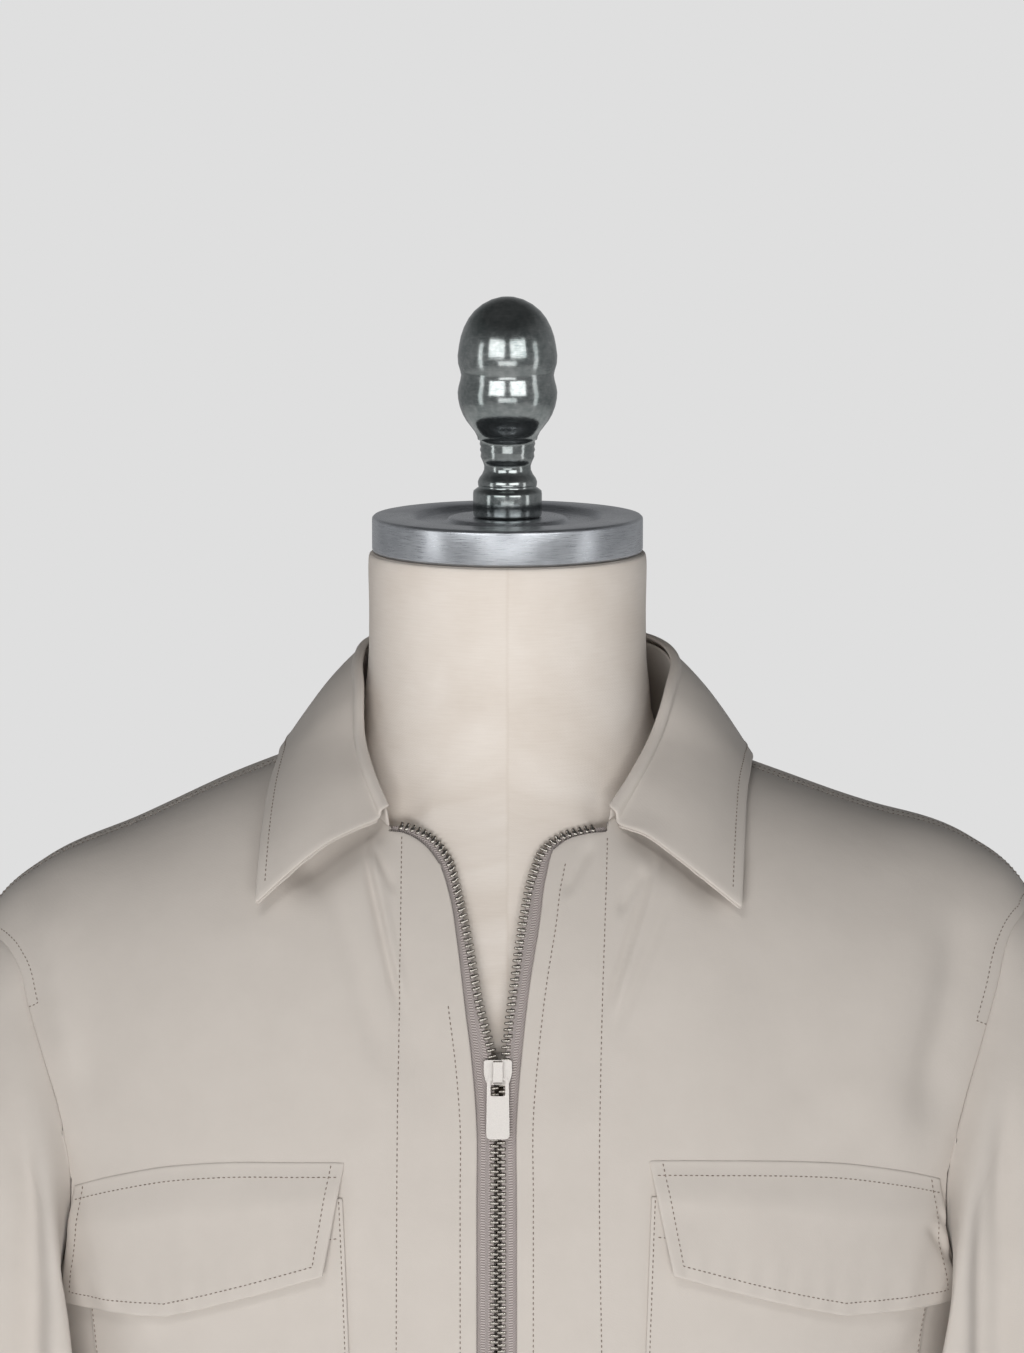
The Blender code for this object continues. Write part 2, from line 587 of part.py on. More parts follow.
def zip_place_at(stations, drop):
    """Place along the panel's edge at which it reaches a drop."""
    places = np.linspace(zip_knots(stations)[CURL_STATION], zip_knots(stations)[-1], 600)
    return np.interp(drop, zip_curve(stations, places, "edge")[:, 1], places)


def zip_rows(stations):
    """Places along the panel's edge of the rows from the curl down to the hem."""
    edge_x = abs(stations[-1].edge_x)
    lower_levels = np.concatenate([armhole_levels(), LOWER_LEVELS])[YOKE_ROWS:]
    lower = zip_place_at(stations, drop_at(edge_x, lower_levels))
    upper = np.linspace(zip_knots(stations)[CURL_STATION], lower[0], YOKE_ROWS + 1)
    return np.concatenate([upper[:-1], lower])


def on_body(points):
    """Angle and level of (x, drop) points of the front."""
    level = level_at(points[:, 0], points[:, 1])
    return np.stack([angle_at(points[:, 0], level), level], axis=-1)


def top_edge(side, face, neck_columns, shoulder_columns):
    """Angle and level along the neck seam and then the shoulder seam."""
    at_shoulder = seam_share_at_shoulder(side)
    shares = np.linspace(1.0 if face == "front" else 0.0, at_shoulder, neck_columns + 1)
    seam = collar_station(shares, side)[0]
    level = shoulder_height(seam[:, 0], seam[:, 1])[1]
    level[-1] = 0.0
    neck = np.stack([angle_at(seam[:, 0], level), level], axis=-1)
    tip_out = ARMHOLE[0].front_out
    outs = np.linspace(abs(seam[-1, 0]), tip_out, shoulder_columns + 1)[1:]
    shoulder = np.stack([angle_at(outs, np.zeros(len(outs))), np.zeros(len(outs))], axis=-1)
    return np.vstack([neck, shoulder])


def side_edge(face, side):
    """Angle and level down the armhole and the side seam."""
    levels = np.concatenate([armhole_levels(), LOWER_LEVELS])
    angles = np.concatenate([armhole_angles(face, side), np.full(len(LOWER_LEVELS), 90.0)])
    return np.stack([angles, levels], axis=-1)


def front_columns(inner, outer, side):
    """Angles of a front's columns between its zip edge and its outer edge."""
    fixed = [inner, *FRONT_INNER_ANGLES, *pocket_shifted(np.array(POCKET_ANGLES), side)]
    return np.concatenate([fixed, np.linspace(POCKET_ANGLES[-1], outer, SIDE_COLUMNS + 1)[1:]])


def front_grid(side, stations):
    """Grid of (angle, level) for one front."""
    outer = side_edge("front", side)
    rows = zip_rows(stations)
    inner = on_body(zip_curve(stations, rows, "edge"))
    inner[YOKE_ROWS:, 1] = outer[YOKE_ROWS:, 1]
    lower = []
    for (first, level), (last, _) in zip(inner[YOKE_ROWS:], outer[YOKE_ROWS:]):
        angles = front_columns(first, last, side)
        lower.append(np.stack([angles, np.full(len(angles), level)], axis=-1))
    shoulder_columns = len(lower[0]) - 1 - NECK_COLUMNS - CURL_COLUMNS
    seam = top_edge(side, "front", NECK_COLUMNS, shoulder_columns)
    curl_places = np.linspace(rows[0], 0.0, CURL_COLUMNS + 1)[:-1]
    top = np.vstack([on_body(zip_curve(stations, curl_places, "edge")), seam])
    upper = coons(top, lower[0], inner[:YOKE_ROWS + 1], outer[:YOKE_ROWS + 1])
    return np.concatenate([upper, np.array(lower[1:])])


def front_panel(name, side, stations, collection):
    """Make one front, half a seam gap in front of the seam plane."""
    grid = front_grid(side, stations)
    points = body(grid[..., 0], grid[..., 1], side, "front")
    points[..., 1] -= SEAM_GAP / 2.0
    if side < 0:
        points = points[:, ::-1]
    cloth(name, points, collection)
    return points


def back_half_grid(side):
    """Grid of (angle, level) for one half of the back."""
    outer = side_edge("back", side)
    top = top_edge(side, "back", BACK_NECK_COLUMNS, BACK_COLUMNS - BACK_NECK_COLUMNS)
    lower = []
    for angle, level in outer[YOKE_ROWS:]:
        angles = np.linspace(0.0, angle, BACK_COLUMNS + 1)
        lower.append(np.stack([angles, np.full(len(angles), level)], axis=-1))
    rolls = np.linspace(roll_of(top[0, 1]), roll_of(YOKE_LEVEL), YOKE_ROWS + 1)
    middle = np.stack([np.zeros(YOKE_ROWS + 1), level_of(rolls)], axis=-1)
    upper = coons(top, lower[0], middle, outer[:YOKE_ROWS + 1])
    return np.concatenate([upper, np.array(lower[1:])])


def back_panel(collection):
    """Make the back in one piece, from its two halves."""
    halves = []
    for side in (1.0, -1.0):
        grid = back_half_grid(side)
        halves.append(body(grid[..., 0], grid[..., 1], side, "back"))
    points = np.concatenate([halves[0][:, ::-1], halves[1][:, 1:]], axis=1)
    points[..., 1] += SEAM_GAP / 2.0
    cloth("back", points, collection)
    return points


# ---------------------------------------------------------------- sleeves
def push_clear(points, clear):
    """Move points out of the body, along a horizontal ray, to lie clear of it."""
    x, y, drop = points[..., 0], points[..., 1], -points[..., 2]
    level = level_at(x, drop)
    across = half_width(level) + clear
    face = np.where(y < 0.0, depth(level, "front"), depth(level, "back")) + clear
    reach = ((np.abs(x) / across) ** SQUARENESS + (np.abs(y) / face) ** SQUARENESS) ** (1.0 / SQUARENESS)
    blended = 0.5 * (reach + 1.0 + np.sqrt((reach - 1.0) ** 2 + CLEAR_SOFTNESS**2))
    scale = np.where(reach < 1.0 + 4.0 * CLEAR_SOFTNESS, blended / reach, 1.0)
    moved = points.copy()
    moved[..., 0] = x * scale
    moved[..., 1] = y * scale
    return moved


def head_direction(share, side, facing):
    """Direction and reach with which the sleeve leaves the armhole."""
    shares = column(SLEEVE_HEAD, "share")
    out, face, down, reach = (smooth_line(shares, column(SLEEVE_HEAD, name), share)
                              for name in ("out", "face", "down", "reach"))
    return unit(np.stack([side * out, facing * face, -down], axis=-1)), reach


def sleeve_grid(side, front_edge, back_edge):
    """Grid of points for one sleeve: rings from the armhole to the cuff."""
    count = len(front_edge)
    armhole = np.vstack([front_edge, back_edge[-2:0:-1]])
    share = np.concatenate([np.linspace(0.0, 1.0, count), np.linspace(1.0, 0.0, count)[1:-1]])
    facing = np.concatenate([np.full(count, -1.0), np.full(count - 2, 1.0)])
    direction, reach = head_direction(share, side, facing)
    turn = np.pi * share
    rings = []
    for row in SLEEVE:
        swing = np.where(facing < 0.0, row.swing * np.sin(turn) ** 2, 0.0)
        ring = np.stack([
            side * (row.centre_x + row.half_width * np.cos(turn) - swing),
            row.centre_y + facing * row.half_depth * np.sin(turn),
            np.full(len(turn), -row.drop)], axis=-1)
        rings.append(push_clear(ring, SLEEVE_CLEAR))
    first = armhole + direction * SEAM_GAP * 2.0
    lead = armhole + direction * reach[:, None]
    settle = rings[0] + np.array([0.0, 0.0, ARM_DROP]) * (1.0 - 0.75 * share**3)[:, None]
    head = []
    for row in range(HEAD_ROWS):
        t = row / HEAD_ROWS
        ring = ((1 - t)**3 * first + 3 * (1 - t)**2 * t * lead
                + 3 * (1 - t) * t**2 * settle + t**3 * rings[0])
        head.append(ring if row == 0 else push_clear(ring, SLEEVE_CLEAR * min(1.0, 0.45 + 0.2 * row)))
    points = np.array(head + rings)
    return points if side < 0 else points[:, ::-1]


# ---------------------------------------------------------------- collar
def collar_shares(side):
    """Shares along one half of the collar, the same as the panels' columns at the neck."""
    at_shoulder = seam_share_at_shoulder(side)
    behind = np.linspace(0.0, at_shoulder, BACK_NECK_COLUMNS + 1)
    before = np.linspace(at_shoulder, 1.0, NECK_COLUMNS + 1)
    return np.concatenate([behind, before[1:]])


def collar_lines():
    """Seam, fold and brim of the whole collar, from its right front end to its left."""
    halves = []
    for side in (-1.0, 1.0):
        seam, fold, fold_drop, edge, lift = collar_station(collar_shares(side), side)
        face_is_front = seam[:, 1] < 0.0
        level = shoulder_height(seam[:, 0], seam[:, 1])[1]
        angle = angle_at(seam[:, 0], level)
        front = body(angle, level, np.sign(side), "front", COLLAR_RAISE)
        back = body(angle, level, np.sign(side), "back", COLLAR_RAISE)
        base = np.where(face_is_front[:, None], front, back)
        top = np.column_stack([fold, -fold_drop])
        brim_height = shoulder_height(edge[:, 0], edge[:, 1])[0] + lift
        brim = np.column_stack([edge, brim_height])
        order = slice(None, None, -1) if side < 0 else slice(1, None)
        halves.append([line[order] for line in (base, top, brim)])
    return [np.vstack([halves[0][i], halves[1][i]]) for i in range(3)]


def collar(collection):
    """Make the stand and the leaf, each running from one front end to the other."""
    base, top, brim = collar_lines()
    stand = np.array([top, (top + base) / 2.0, base])
    cloth("collar_stand", stand, collection)
    along = unit(np.gradient(top, axis=0))
    fall = brim - top
    away = fall * np.array([1.0, 1.0, 0.0])
    away = unit(away - along * np.sum(away * along, axis=-1, keepdims=True))
    up = unit(np.cross(away, along))
    up = up * np.sign(up[:, 2:3])
    crest = top - away * CREST_BACK + up * (WALL + 3.0 * SEAM_GAP)
    shoulder = top + away * (LEAF_REACH * 0.6) + up * (WALL + 2.0 * SEAM_GAP)
    turn = top + away * LEAF_REACH - up * TURN_DOWN
    rows = [crest, shoulder, turn]
    for t in (0.22, 0.45, 0.70, 1.0):
        point = turn * (1 - t) + brim * t
        surface = shoulder_height(point[:, 0], point[:, 1])[0]
        bulge = point[:, 2] + LEAF_BULGE * math.sin(math.pi * t)
        clear = LEAF_CLEAR * LEAF_SLOPE + LEAF_RISE * (1.0 - t)**2
        point[:, 2] = np.maximum(bulge, surface + clear)
        rows.append(point)
    cloth("collar_leaf", np.array(rows), collection)


# ---------------------------------------------------------------- zip
def zip_tape(name, side, stations, collection):
    """Make one tape: a strip behind the panel's edge that carries the teeth."""
    rows = zip_rows(stations)
    rows = rows[rows < zip_knots(stations)[-1]]
    curl = np.linspace(0.0, rows[0], 2 * CURL_COLUMNS + 1)[:-1]
    places = np.concatenate([curl, rows, zip_knots(stations)[-1:]])
    edge = zip_curve(stations, places, "edge")
    teeth = zip_curve(stations, places, "teeth")
    tuck = edge + unit(edge - teeth) * TAPE_TUCK
    strips = [front_point(line[:, 0], line[:, 1], -TAPE_DEPTH) for line in (teeth, edge, tuck)]
    points = np.stack(strips, axis=1)
    points[..., 1] -= SEAM_GAP / 2.0
    if side < 0:
        points = points[:, ::-1]
    cloth(name, points, collection, wall=TAPE_WALL, look_name="tape")


def pocket_shifted(angles, side):
    """Turn angles toward the right by the pockets' shift, which fades at their outer end."""
    first, last = POCKET_ANGLES[0], POCKET_ANGLES[-1]
    return angles - side * POCKET_SHIFT * np.clip((last - angles) / (last - first), 0.0, 1.0)


def pocket(name, side, collection):
    """Make one patch pocket from the panel's own rows and columns, moved out."""
    columns = pocket_shifted(np.array(POCKET_ANGLES), side)
    angles, levels = np.meshgrid(columns, POCKET_LEVELS)
    points = body(angles, levels, side, "front", LAYER)
    points[..., 1] -= SEAM_GAP / 2.0
    cloth(name, points if side > 0 else points[:, ::-1], collection)


def flap(name, side, collection):
    """Make one pocket flap, which rises from the panel to pass over the pocket."""
    share = np.linspace(0.0, 1.0, FLAP_ROWS + 1)[:, None]
    top_angle, top_level, bottom_angle, bottom_level = (
        np.array(column(FLAP_EDGE, name)) for name in Flap._fields)
    angles = pocket_shifted(top_angle + share * (bottom_angle - top_angle), side)
    levels = top_level + share * (bottom_level - top_level)
    height = LAYER + FLAP_SPARE + LAYER * smoothstep(share * 3.5) * np.ones_like(angles)
    points = body(angles, levels, side, "front", height)
    points[..., 1] -= SEAM_GAP / 2.0
    cloth(name, points if side > 0 else points[:, ::-1], collection)


def outline(name, loops, thickness, look_name, collection):
    """Make a flat plate of that thickness from closed outlines in its own plane."""
    curve = bpy.data.curves.new(name, "CURVE")
    curve.dimensions = "2D"
    curve.fill_mode = "BOTH"
    curve.extrude = thickness / 2.0
    for loop in loops:
        spline = curve.splines.new("POLY")
        spline.points.add(len(loop) - 1)
        for point, (x, y) in zip(spline.points, loop):
            point.co = (x, y, 0.0, 1.0)
        spline.use_cyclic_u = True
    guide = bpy.data.objects.new(name, curve)
    collection.objects.link(guide)
    bpy.context.view_layer.update()
    graph = bpy.context.evaluated_depsgraph_get()
    mesh = bpy.data.meshes.new_from_object(guide.evaluated_get(graph))
    bpy.data.objects.remove(guide, do_unlink=True)
    bpy.data.curves.remove(curve)
    work = bmesh.new()
    work.from_mesh(mesh)
    bmesh.ops.remove_doubles(work, verts=work.verts, dist=0.000001)
    bmesh.ops.recalc_face_normals(work, faces=work.faces)
    work.to_mesh(mesh)
    work.free()
    mesh.materials.clear()
    return link(name, mesh, look_name, collection)


def rounded(corners, radius, steps=4):
    """Round the corners of a closed outline with arcs."""
    result = []
    count = len(corners)
    for index in range(count):
        corner = np.array(corners[index])
        before = unit(np.array(corners[index - 1]) - corner)
        after = unit(np.array(corners[(index + 1) % count]) - corner)
        for step in range(steps + 1):
            t = step / steps
            start, end = corner + before * radius, corner + after * radius
            point = (1 - t)**2 * start + 2 * t * (1 - t) * corner + t**2 * end
            result.append(tuple(point))
    return result


def join(target, others):
    """Join solids that overlap into the target with exact Booleans."""
    for other in others:
        union = target.modifiers.new("join", "BOOLEAN")
        union.operation = "UNION"
        union.solver = "EXACT"
        union.object = other
        other.hide_render = True
        other.display_type = "WIRE"


def chest_frame():
    """Return the slider's corner on the chest, and the down and outward directions there."""
    corner = front_point(SLIDER_X, SLIDER_DROP) + np.array([0.0, 0.0, NECK_TOP])
    below = front_point(SLIDER_X, SLIDER_DROP + SLIDER_LENGTH) + np.array([0.0, 0.0, NECK_TOP])
    down = Vector(below - corner).normalized()
    outward = down.cross(Vector((1.0, 0.0, 0.0))).normalized()
    return Vector(corner), down, outward


def set_frame(thing, place, columns):
    """Place a plate whose own X, Y and Z run along the given directions."""
    matrix = Matrix([[*row] for row in zip(*columns)]).to_4x4()
    thing.matrix_world = Matrix.Translation(place) @ matrix


def slider(collection, cutters):
    """Make the slider: two plates, the post between them and the bail on top."""
    corner, down, outward = chest_frame()
    across = Vector((1.0, 0.0, 0.0))
    flat = (across, -down, outward)
    half, length = SLIDER_WIDTH / 2.0, SLIDER_LENGTH
    bend, end_half = length * PLATE_TAPER[0], half * PLATE_TAPER[1]
    body_outline = rounded([(-half, 0.0), (-half, -bend), (-end_half, -length),
                            (end_half, -length), (half, -bend), (half, 0.0)], PLATE_ROUND)
    front = outline("zip_slider", [body_outline], SLIDER_PLATE, "zip_metal", collection)
    set_frame(front, corner + outward * (PLATE_SET + SLIDER_PLATE / 2.0), flat)
    back = outline("slider_back_plate", [body_outline], SLIDER_PLATE, "zip_metal", cutters)
    back_level = -BACK_PLATE_DEPTH - SLIDER_PLATE / 2.0
    set_frame(back, corner + outward * back_level, flat)
    width, run = POST_SIZE
    start = -BAIL_SPAN[0]
    post_outline = [(-width / 2, start), (width / 2, start), (width / 2, -run), (-width / 2, -run)]
    post_height = PLATE_SET + BACK_PLATE_DEPTH + SLIDER_PLATE
    post = outline("slider_post", [post_outline], post_height, "zip_metal", cutters)
    post_level = (PLATE_SET + SLIDER_PLATE / 2.0 + back_level) / 2.0
    set_frame(post, corner + across * POST_SET + outward * post_level, flat)
    start, end = BAIL_SPAN
    foot = -BAIL_FOOT
    top = 2.0 * BAR_ROOM + BAIL_WALL
    bail_outline = [(start, foot), (start, top - BAIL_BEVEL), (start + BAIL_BEVEL, top),
                    (end - BAIL_BEVEL, top), (end, top - BAIL_BEVEL), (end, foot), (end - BAIL_WALL, foot),
                    (end - BAIL_WALL, top - BAIL_WALL), (start + BAIL_WALL, top - BAIL_WALL),
                    (start + BAIL_WALL, foot)]
    bail = outline("slider_bail", [bail_outline], BAIL_WIDTH, "zip_metal", cutters)
    face_level = PLATE_SET + SLIDER_PLATE
    set_frame(bail, corner + outward * face_level, (down, outward, -across))
    join(front, [back, post, bail])


def hinge_place():
    """Return the middle of the tab's bar, which turns in the bail."""
    corner, down, outward = chest_frame()
    along = BAIL_SPAN[1] - BAIL_WALL - BAR_ROOM
    return corner + down * along + outward * (PLATE_SET + SLIDER_PLATE + BAR_ROOM)


def pull_tab(collection):
    """Make the pull tab: a plate with a window, whose top bar lies in the bail."""
    _, down, outward = chest_frame()
    top, end = TAB_TOP_WIDTH / 2.0, TAB_END_WIDTH / 2.0
    high = TAB_BAR / 2.0
    low = high - TAB_LENGTH
    rim = rounded([(-top, high), (-end, low), (end, low), (top, high)], TAB_ROUND)
    side = WINDOW_WIDTH / 2.0
    window_top = -TAB_BAR / 2.0
    window = rounded([(-side, window_top), (-side, window_top - WINDOW_LENGTH),
                      (side, window_top - WINDOW_LENGTH), (side, window_top)], BAIL_BEVEL, steps=2)
    tab = outline("zip_pull_tab", [rim, window], TAB_WALL, "zip_metal", collection)
    set_frame(tab, hinge_place(), (Vector((1.0, 0.0, 0.0)), -down, outward))


def zip_box(collection):
    """Make the small box that ends the zip, just under the two tapes."""
    width, deep, tall = BOX_SIZE
    tape_end = ZIP_LEFT_HAND[-1].edge_drop
    middle = front_point(SLIDER_X, tape_end, -TAPE_DEPTH - TAPE_WALL / 2.0)
    bpy.ops.mesh.primitive_cube_add(size=1.0)
    box = bpy.context.active_object
    box.data.transform(Matrix.Diagonal((width, deep, tall, 1.0)))
    mesh = box.data
    bpy.data.objects.remove(box, do_unlink=True)
    thing = link("zip_box", mesh, "zip_metal", collection)
    thing.location = (middle[0], middle[1], middle[2] + NECK_TOP - tall / 2.0 - SEAM_GAP)
    edges = thing.modifiers.new("edges", "BEVEL")
    edges.width = BOX_BEVEL
    edges.segments = 1


# ---------------------------------------------------------------- the dress form
def under_cloth(points):
    """Lower the form's points until they lie under the cloth, and just under it at the shoulder line."""
    x, y = points[..., 0], points[..., 1]
    cloth_height = shoulder_height(x, y)[0]
    slope = (shoulder_drop(x + 0.001) - shoulder_drop(x - 0.001)) / 0.002
    seat = (WALL + SHOULDER_SEAT) * np.hypot(1.0, slope)
    beside = smoothstep(np.abs(y) / SEAT_WIDTH)
    beyond = smoothstep((np.abs(x) - SEAT_END) / SEAT_WIDTH)
    clear = seat + FORM_CLEAR * np.maximum(beside, beyond)
    under = np.hypot(x, y) > NECK_RADIUS
    lowered = points.copy()
    limit = cloth_height - clear + NECK_TOP
    lowered[..., 2] = np.where(under, np.minimum(points[..., 2], limit), points[..., 2])
    near_line = np.abs(points[..., 2] - limit) < SEAT_REACH
    resting = (np.abs(x) > SEAT_START) & (np.abs(x) < SEAT_END)
    on_line = under & near_line & resting & (np.abs(y) < 0.001)
    lowered[..., 2] = np.where(on_line, limit, lowered[..., 2])
    return lowered


def torso(collection):
    """Make the linen torso as one closed loft from the neck to the foot."""
    turn = np.linspace(0.0, 2.0 * np.pi, TORSO_SIDES, endpoint=False)
    sine, cosine = np.sin(turn), np.cos(turn)
    rings = []
    for ring in TORSO:
        power = 2.0 / ring.square
        deep = np.where(cosine > 0.0, ring.front, ring.back)
        face_drop = np.where(cosine > 0.0, ring.front_drop, ring.back_drop)
        share = np.abs(sine) ** TORSO_SADDLE
        rings.append(np.stack([
            ring.half_width * np.sign(sine) * np.abs(sine) ** power,
            -deep * np.sign(cosine) * np.abs(cosine) ** power,
            NECK_TOP - (ring.side_drop * share + face_drop * (1.0 - share))], axis=-1))
    points = under_cloth(np.concatenate(rings))
    faces = []
    for row in range(len(TORSO) - 1):
        for step in range(TORSO_SIDES):
            after = (step + 1) % TORSO_SIDES
            faces.append((row * TORSO_SIDES + step, (row + 1) * TORSO_SIDES + step,
                          (row + 1) * TORSO_SIDES + after, row * TORSO_SIDES + after))
    faces.append(tuple(range(TORSO_SIDES)))
    last = (len(TORSO) - 1) * TORSO_SIDES
    faces.append(tuple(range(last + TORSO_SIDES - 1, last - 1, -1)))
    mesh = bpy.data.meshes.new("form_torso")
    mesh.from_pydata(points.tolist(), [], faces)
    mesh.update()
    link("form_torso", mesh, "linen", collection)


def stand(collection):
    """Make the turned pieces: cap and finial above, flange, pole and base below."""
    turned("form_cap", CAP_PROFILE, NECK_TOP, "aluminium", collection)
    turned("form_finial", FINIAL_PROFILE, NECK_TOP + CAP_DISH + SEAM_GAP, "cast_metal", collection)
    foot = NECK_TOP - TORSO[-1].side_drop
    flange_top = foot - SEAM_GAP
    flange_low = flange_top - FLANGE_HEIGHT
    flange = (
        (0.0, FLANGE_HEIGHT), (FLANGE_RADIUS, FLANGE_HEIGHT), (FLANGE_RADIUS, FLANGE_HEIGHT * 0.6),
        (POLE_RADIUS + FLANGE_TAPER, 0.0), (0.0, 0.0),
    )
    turned("form_flange", flange, flange_low, "aluminium", collection)
    hub_top = BASE_HEIGHT + BASE_HUB
    pole_low = hub_top + SEAM_GAP
    pole_length = flange_low - SEAM_GAP - pole_low
    pole = ((0.0, pole_length), (POLE_RADIUS, pole_length), (POLE_RADIUS, 0.0), (0.0, 0.0))
    turned("form_pole", pole, pole_low, "aluminium", collection)
    hub = POLE_RADIUS + HUB_WALL
    rim = [(BASE_RADIUS - inset, BASE_HEIGHT - fall) for inset, fall in RIM_ROUND]
    base = (
        (0.0, hub_top), (hub - HUB_BEVEL, hub_top), (hub, hub_top - HUB_BEVEL),
        (hub, BASE_HEIGHT + HUB_BEVEL), (hub + HUB_BEVEL, BASE_HEIGHT),
        (BASE_RADIUS * 0.9, BASE_HEIGHT - BASE_DIP), *rim, (BASE_RADIUS, 0.0), (0.0, 0.0),
    )
    turned("form_base", base, 0.0, "cast_metal", collection)


def main():
    """Build every piece."""
    clear_scene()
    garment = bpy.data.collections.new("overshirt_on_dress_form")
    cutters = bpy.data.collections.new("joined_shapes")
    for collection in (garment, cutters):
        bpy.context.scene.collection.children.link(collection)

    left = front_panel("front_left", 1.0, ZIP_LEFT_HAND, garment)
    right = front_panel("front_right", -1.0, ZIP_RIGHT_HAND, garment)
    back = back_panel(garment)
    rows = len(armhole_levels())
    cloth("sleeve_left", sleeve_grid(1.0, left[:rows, -1], back[:rows, 0]), garment, closed=True)
    cloth("sleeve_right", sleeve_grid(-1.0, right[:rows, 0], back[:rows, -1]), garment, closed=True)
    collar(garment)
    zip_tape("zip_tape_left", 1.0, ZIP_LEFT_HAND, garment)
    zip_tape("zip_tape_right", -1.0, ZIP_RIGHT_HAND, garment)
    for side_name, side in (("left", 1.0), ("right", -1.0)):
        pocket(f"pocket_{side_name}", side, garment)
        flap(f"pocket_flap_{side_name}", side, garment)
    slider(garment, cutters)
    pull_tab(garment)
    zip_box(garment)
    torso(garment)
    stand(garment)


main()
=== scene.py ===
"""A zip-front overshirt on a linen dress form: all that shows, built round the fixed frame.

Metres, +Z up, origin on the floor under the middle of the round base. The front faces -Y.

The cloth of the body is one smooth surface with two coordinates: an angle, 0 at the middle
of the front or back and 90 degrees at the side seam, and a level, 0 on the shoulder line,
1 at the depth of the chest, and more below it. Panels, pockets, flaps and every line of
stitches take their points from that surface. Heights are given as drops below the top of
the form's neck.
"""
from __future__ import annotations

import logging
import math
from dataclasses import dataclass, field
from enum import Enum
from typing import Any

import bmesh
import bpy
import numpy as np
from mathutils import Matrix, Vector

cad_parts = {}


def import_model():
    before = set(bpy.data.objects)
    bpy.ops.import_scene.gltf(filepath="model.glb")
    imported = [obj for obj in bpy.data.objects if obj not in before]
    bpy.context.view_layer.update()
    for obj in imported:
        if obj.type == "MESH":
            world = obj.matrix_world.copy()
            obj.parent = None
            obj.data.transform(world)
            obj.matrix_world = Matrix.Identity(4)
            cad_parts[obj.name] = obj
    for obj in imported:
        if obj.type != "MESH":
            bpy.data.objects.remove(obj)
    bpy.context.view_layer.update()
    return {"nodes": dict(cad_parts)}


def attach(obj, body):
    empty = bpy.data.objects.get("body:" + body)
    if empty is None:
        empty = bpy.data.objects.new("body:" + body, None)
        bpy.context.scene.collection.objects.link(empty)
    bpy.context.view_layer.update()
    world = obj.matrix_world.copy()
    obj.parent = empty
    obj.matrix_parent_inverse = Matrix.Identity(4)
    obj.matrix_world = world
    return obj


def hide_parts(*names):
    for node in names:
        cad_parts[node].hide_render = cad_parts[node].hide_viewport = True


Array = np.ndarray
Path = tuple[Array, Array]   # points and unit normals
LOG = logging.getLogger("overshirt")

NECK_TOP = 1.040            # height of the top of the form's neck above the floor
WALL = 0.0012               # thickness of one layer of cloth
SEAM_GAP = 0.0003           # space between two pieces that are sewn or seated together
ROOT = "garment_and_form"   # the body that everything but the pull tab rides on
TAB_BODY = "pull_tab"
FINE = 8                    # steps between two rows or columns of the frame's own panels
ACROSS = 14                 # steps between two columns of a front, which has the fine creases
WELD = 0.000005             # points of a turned piece that are nearer than this are one
LOOSE = 0.00001             # the same for the frame's loose triangles


class Side(Enum):
    """A side of the garment, as the wearer sees it."""

    LEFT = 1.0
    RIGHT = -1.0


class Face(Enum):
    """A face of the body."""

    FRONT = "front"
    BACK = "back"


class Edge(Enum):
    """A border of a sheet of cloth."""

    TOP = "top"
    BOTTOM = "bottom"
    FIRST = "first column"
    LAST = "last column"


# ---------------------------------------------------------------- tables of sizes
class Table:
    """A table of sizes: named columns of numbers, whose rows stand two spaces or a line apart."""

    def __init__(self, names: str, numbers: str) -> None:
        """Read the numbers.

        Args:
            names: the columns' names.
            numbers: the rows.
        """
        self.rows = np.array(numbers.split(), float).reshape(-1, len(names.split()))
        self.columns = dict(zip(names.split(), self.rows.T))

    def __getitem__(self, name: str) -> Array:
        """Return a column."""
        return self.columns[name]


# The shoulder line: drops at distances from the axis.
SHOULDER_LINE = Table("out drop", """
    0 .066  .06 .078  .11 .0965  .162 .117  .205 .1335  .222 .146  .24 .17
""")
# Half width and depths of the body at its levels.
GIRTHS = Table("level half_width front back", """
    0 .25 .135 .118  .5 .231 .135 .118  1 .214 .135 .118  1.4 .209 .134 .116  1.9 .207 .131 .114
    2.4 .2085 .129 .116  2.8 .211 .128 .119
""")
# Distances of the armhole from the axis at its levels.
ARMHOLE = Table("level front_out back_out", """
    0 .232 .232  .004 .2316 .2318  .04 .228 .2298  .13 .219 .224  .24 .213 .219  .36 .2055 .2145
    .48 .1975 .2105  .607 .1905 .207  .7 .19 .205  .8 .194 .2055  .9 .199 .207  1 .205 .2095  1.08 .21 .212
""")
UNDERARM_LEVEL = 1.14
LOWER_LEVELS = (1.28, 1.46, 1.64, 1.82, 2.00, 2.20, 2.40, 2.60, 2.80)
# Where the collar's seam, fold and brim lie, from the back's middle to the front end.
COLLAR = Table("seam_x seam_y fold_x fold_y fold_drop edge_x edge_y lift shift", """
    0 .0765 0 .0745 .045 0 .086 .007 0  .04 .066 .036 .0655 .045 .052 .079 .005 0
    .068 .036 .06 .036 .046 .088 .05 .004 .002  .078 .004 .0675 .002 .05 .102 .01 .003 .004
    .0765 -.022 .0655 -.024 .06 .103 -.018 .003 .003  .0705 -.042 .062 -.042 .077 .1035 -.042 .0034 0
    .06 -.0585 .056 -.0575 .09 .1037 -.062 .004 -.002
    .0467 -.0717 .0477 -.07 .1035 .1037 -.0812 .0045 -.0037
""")
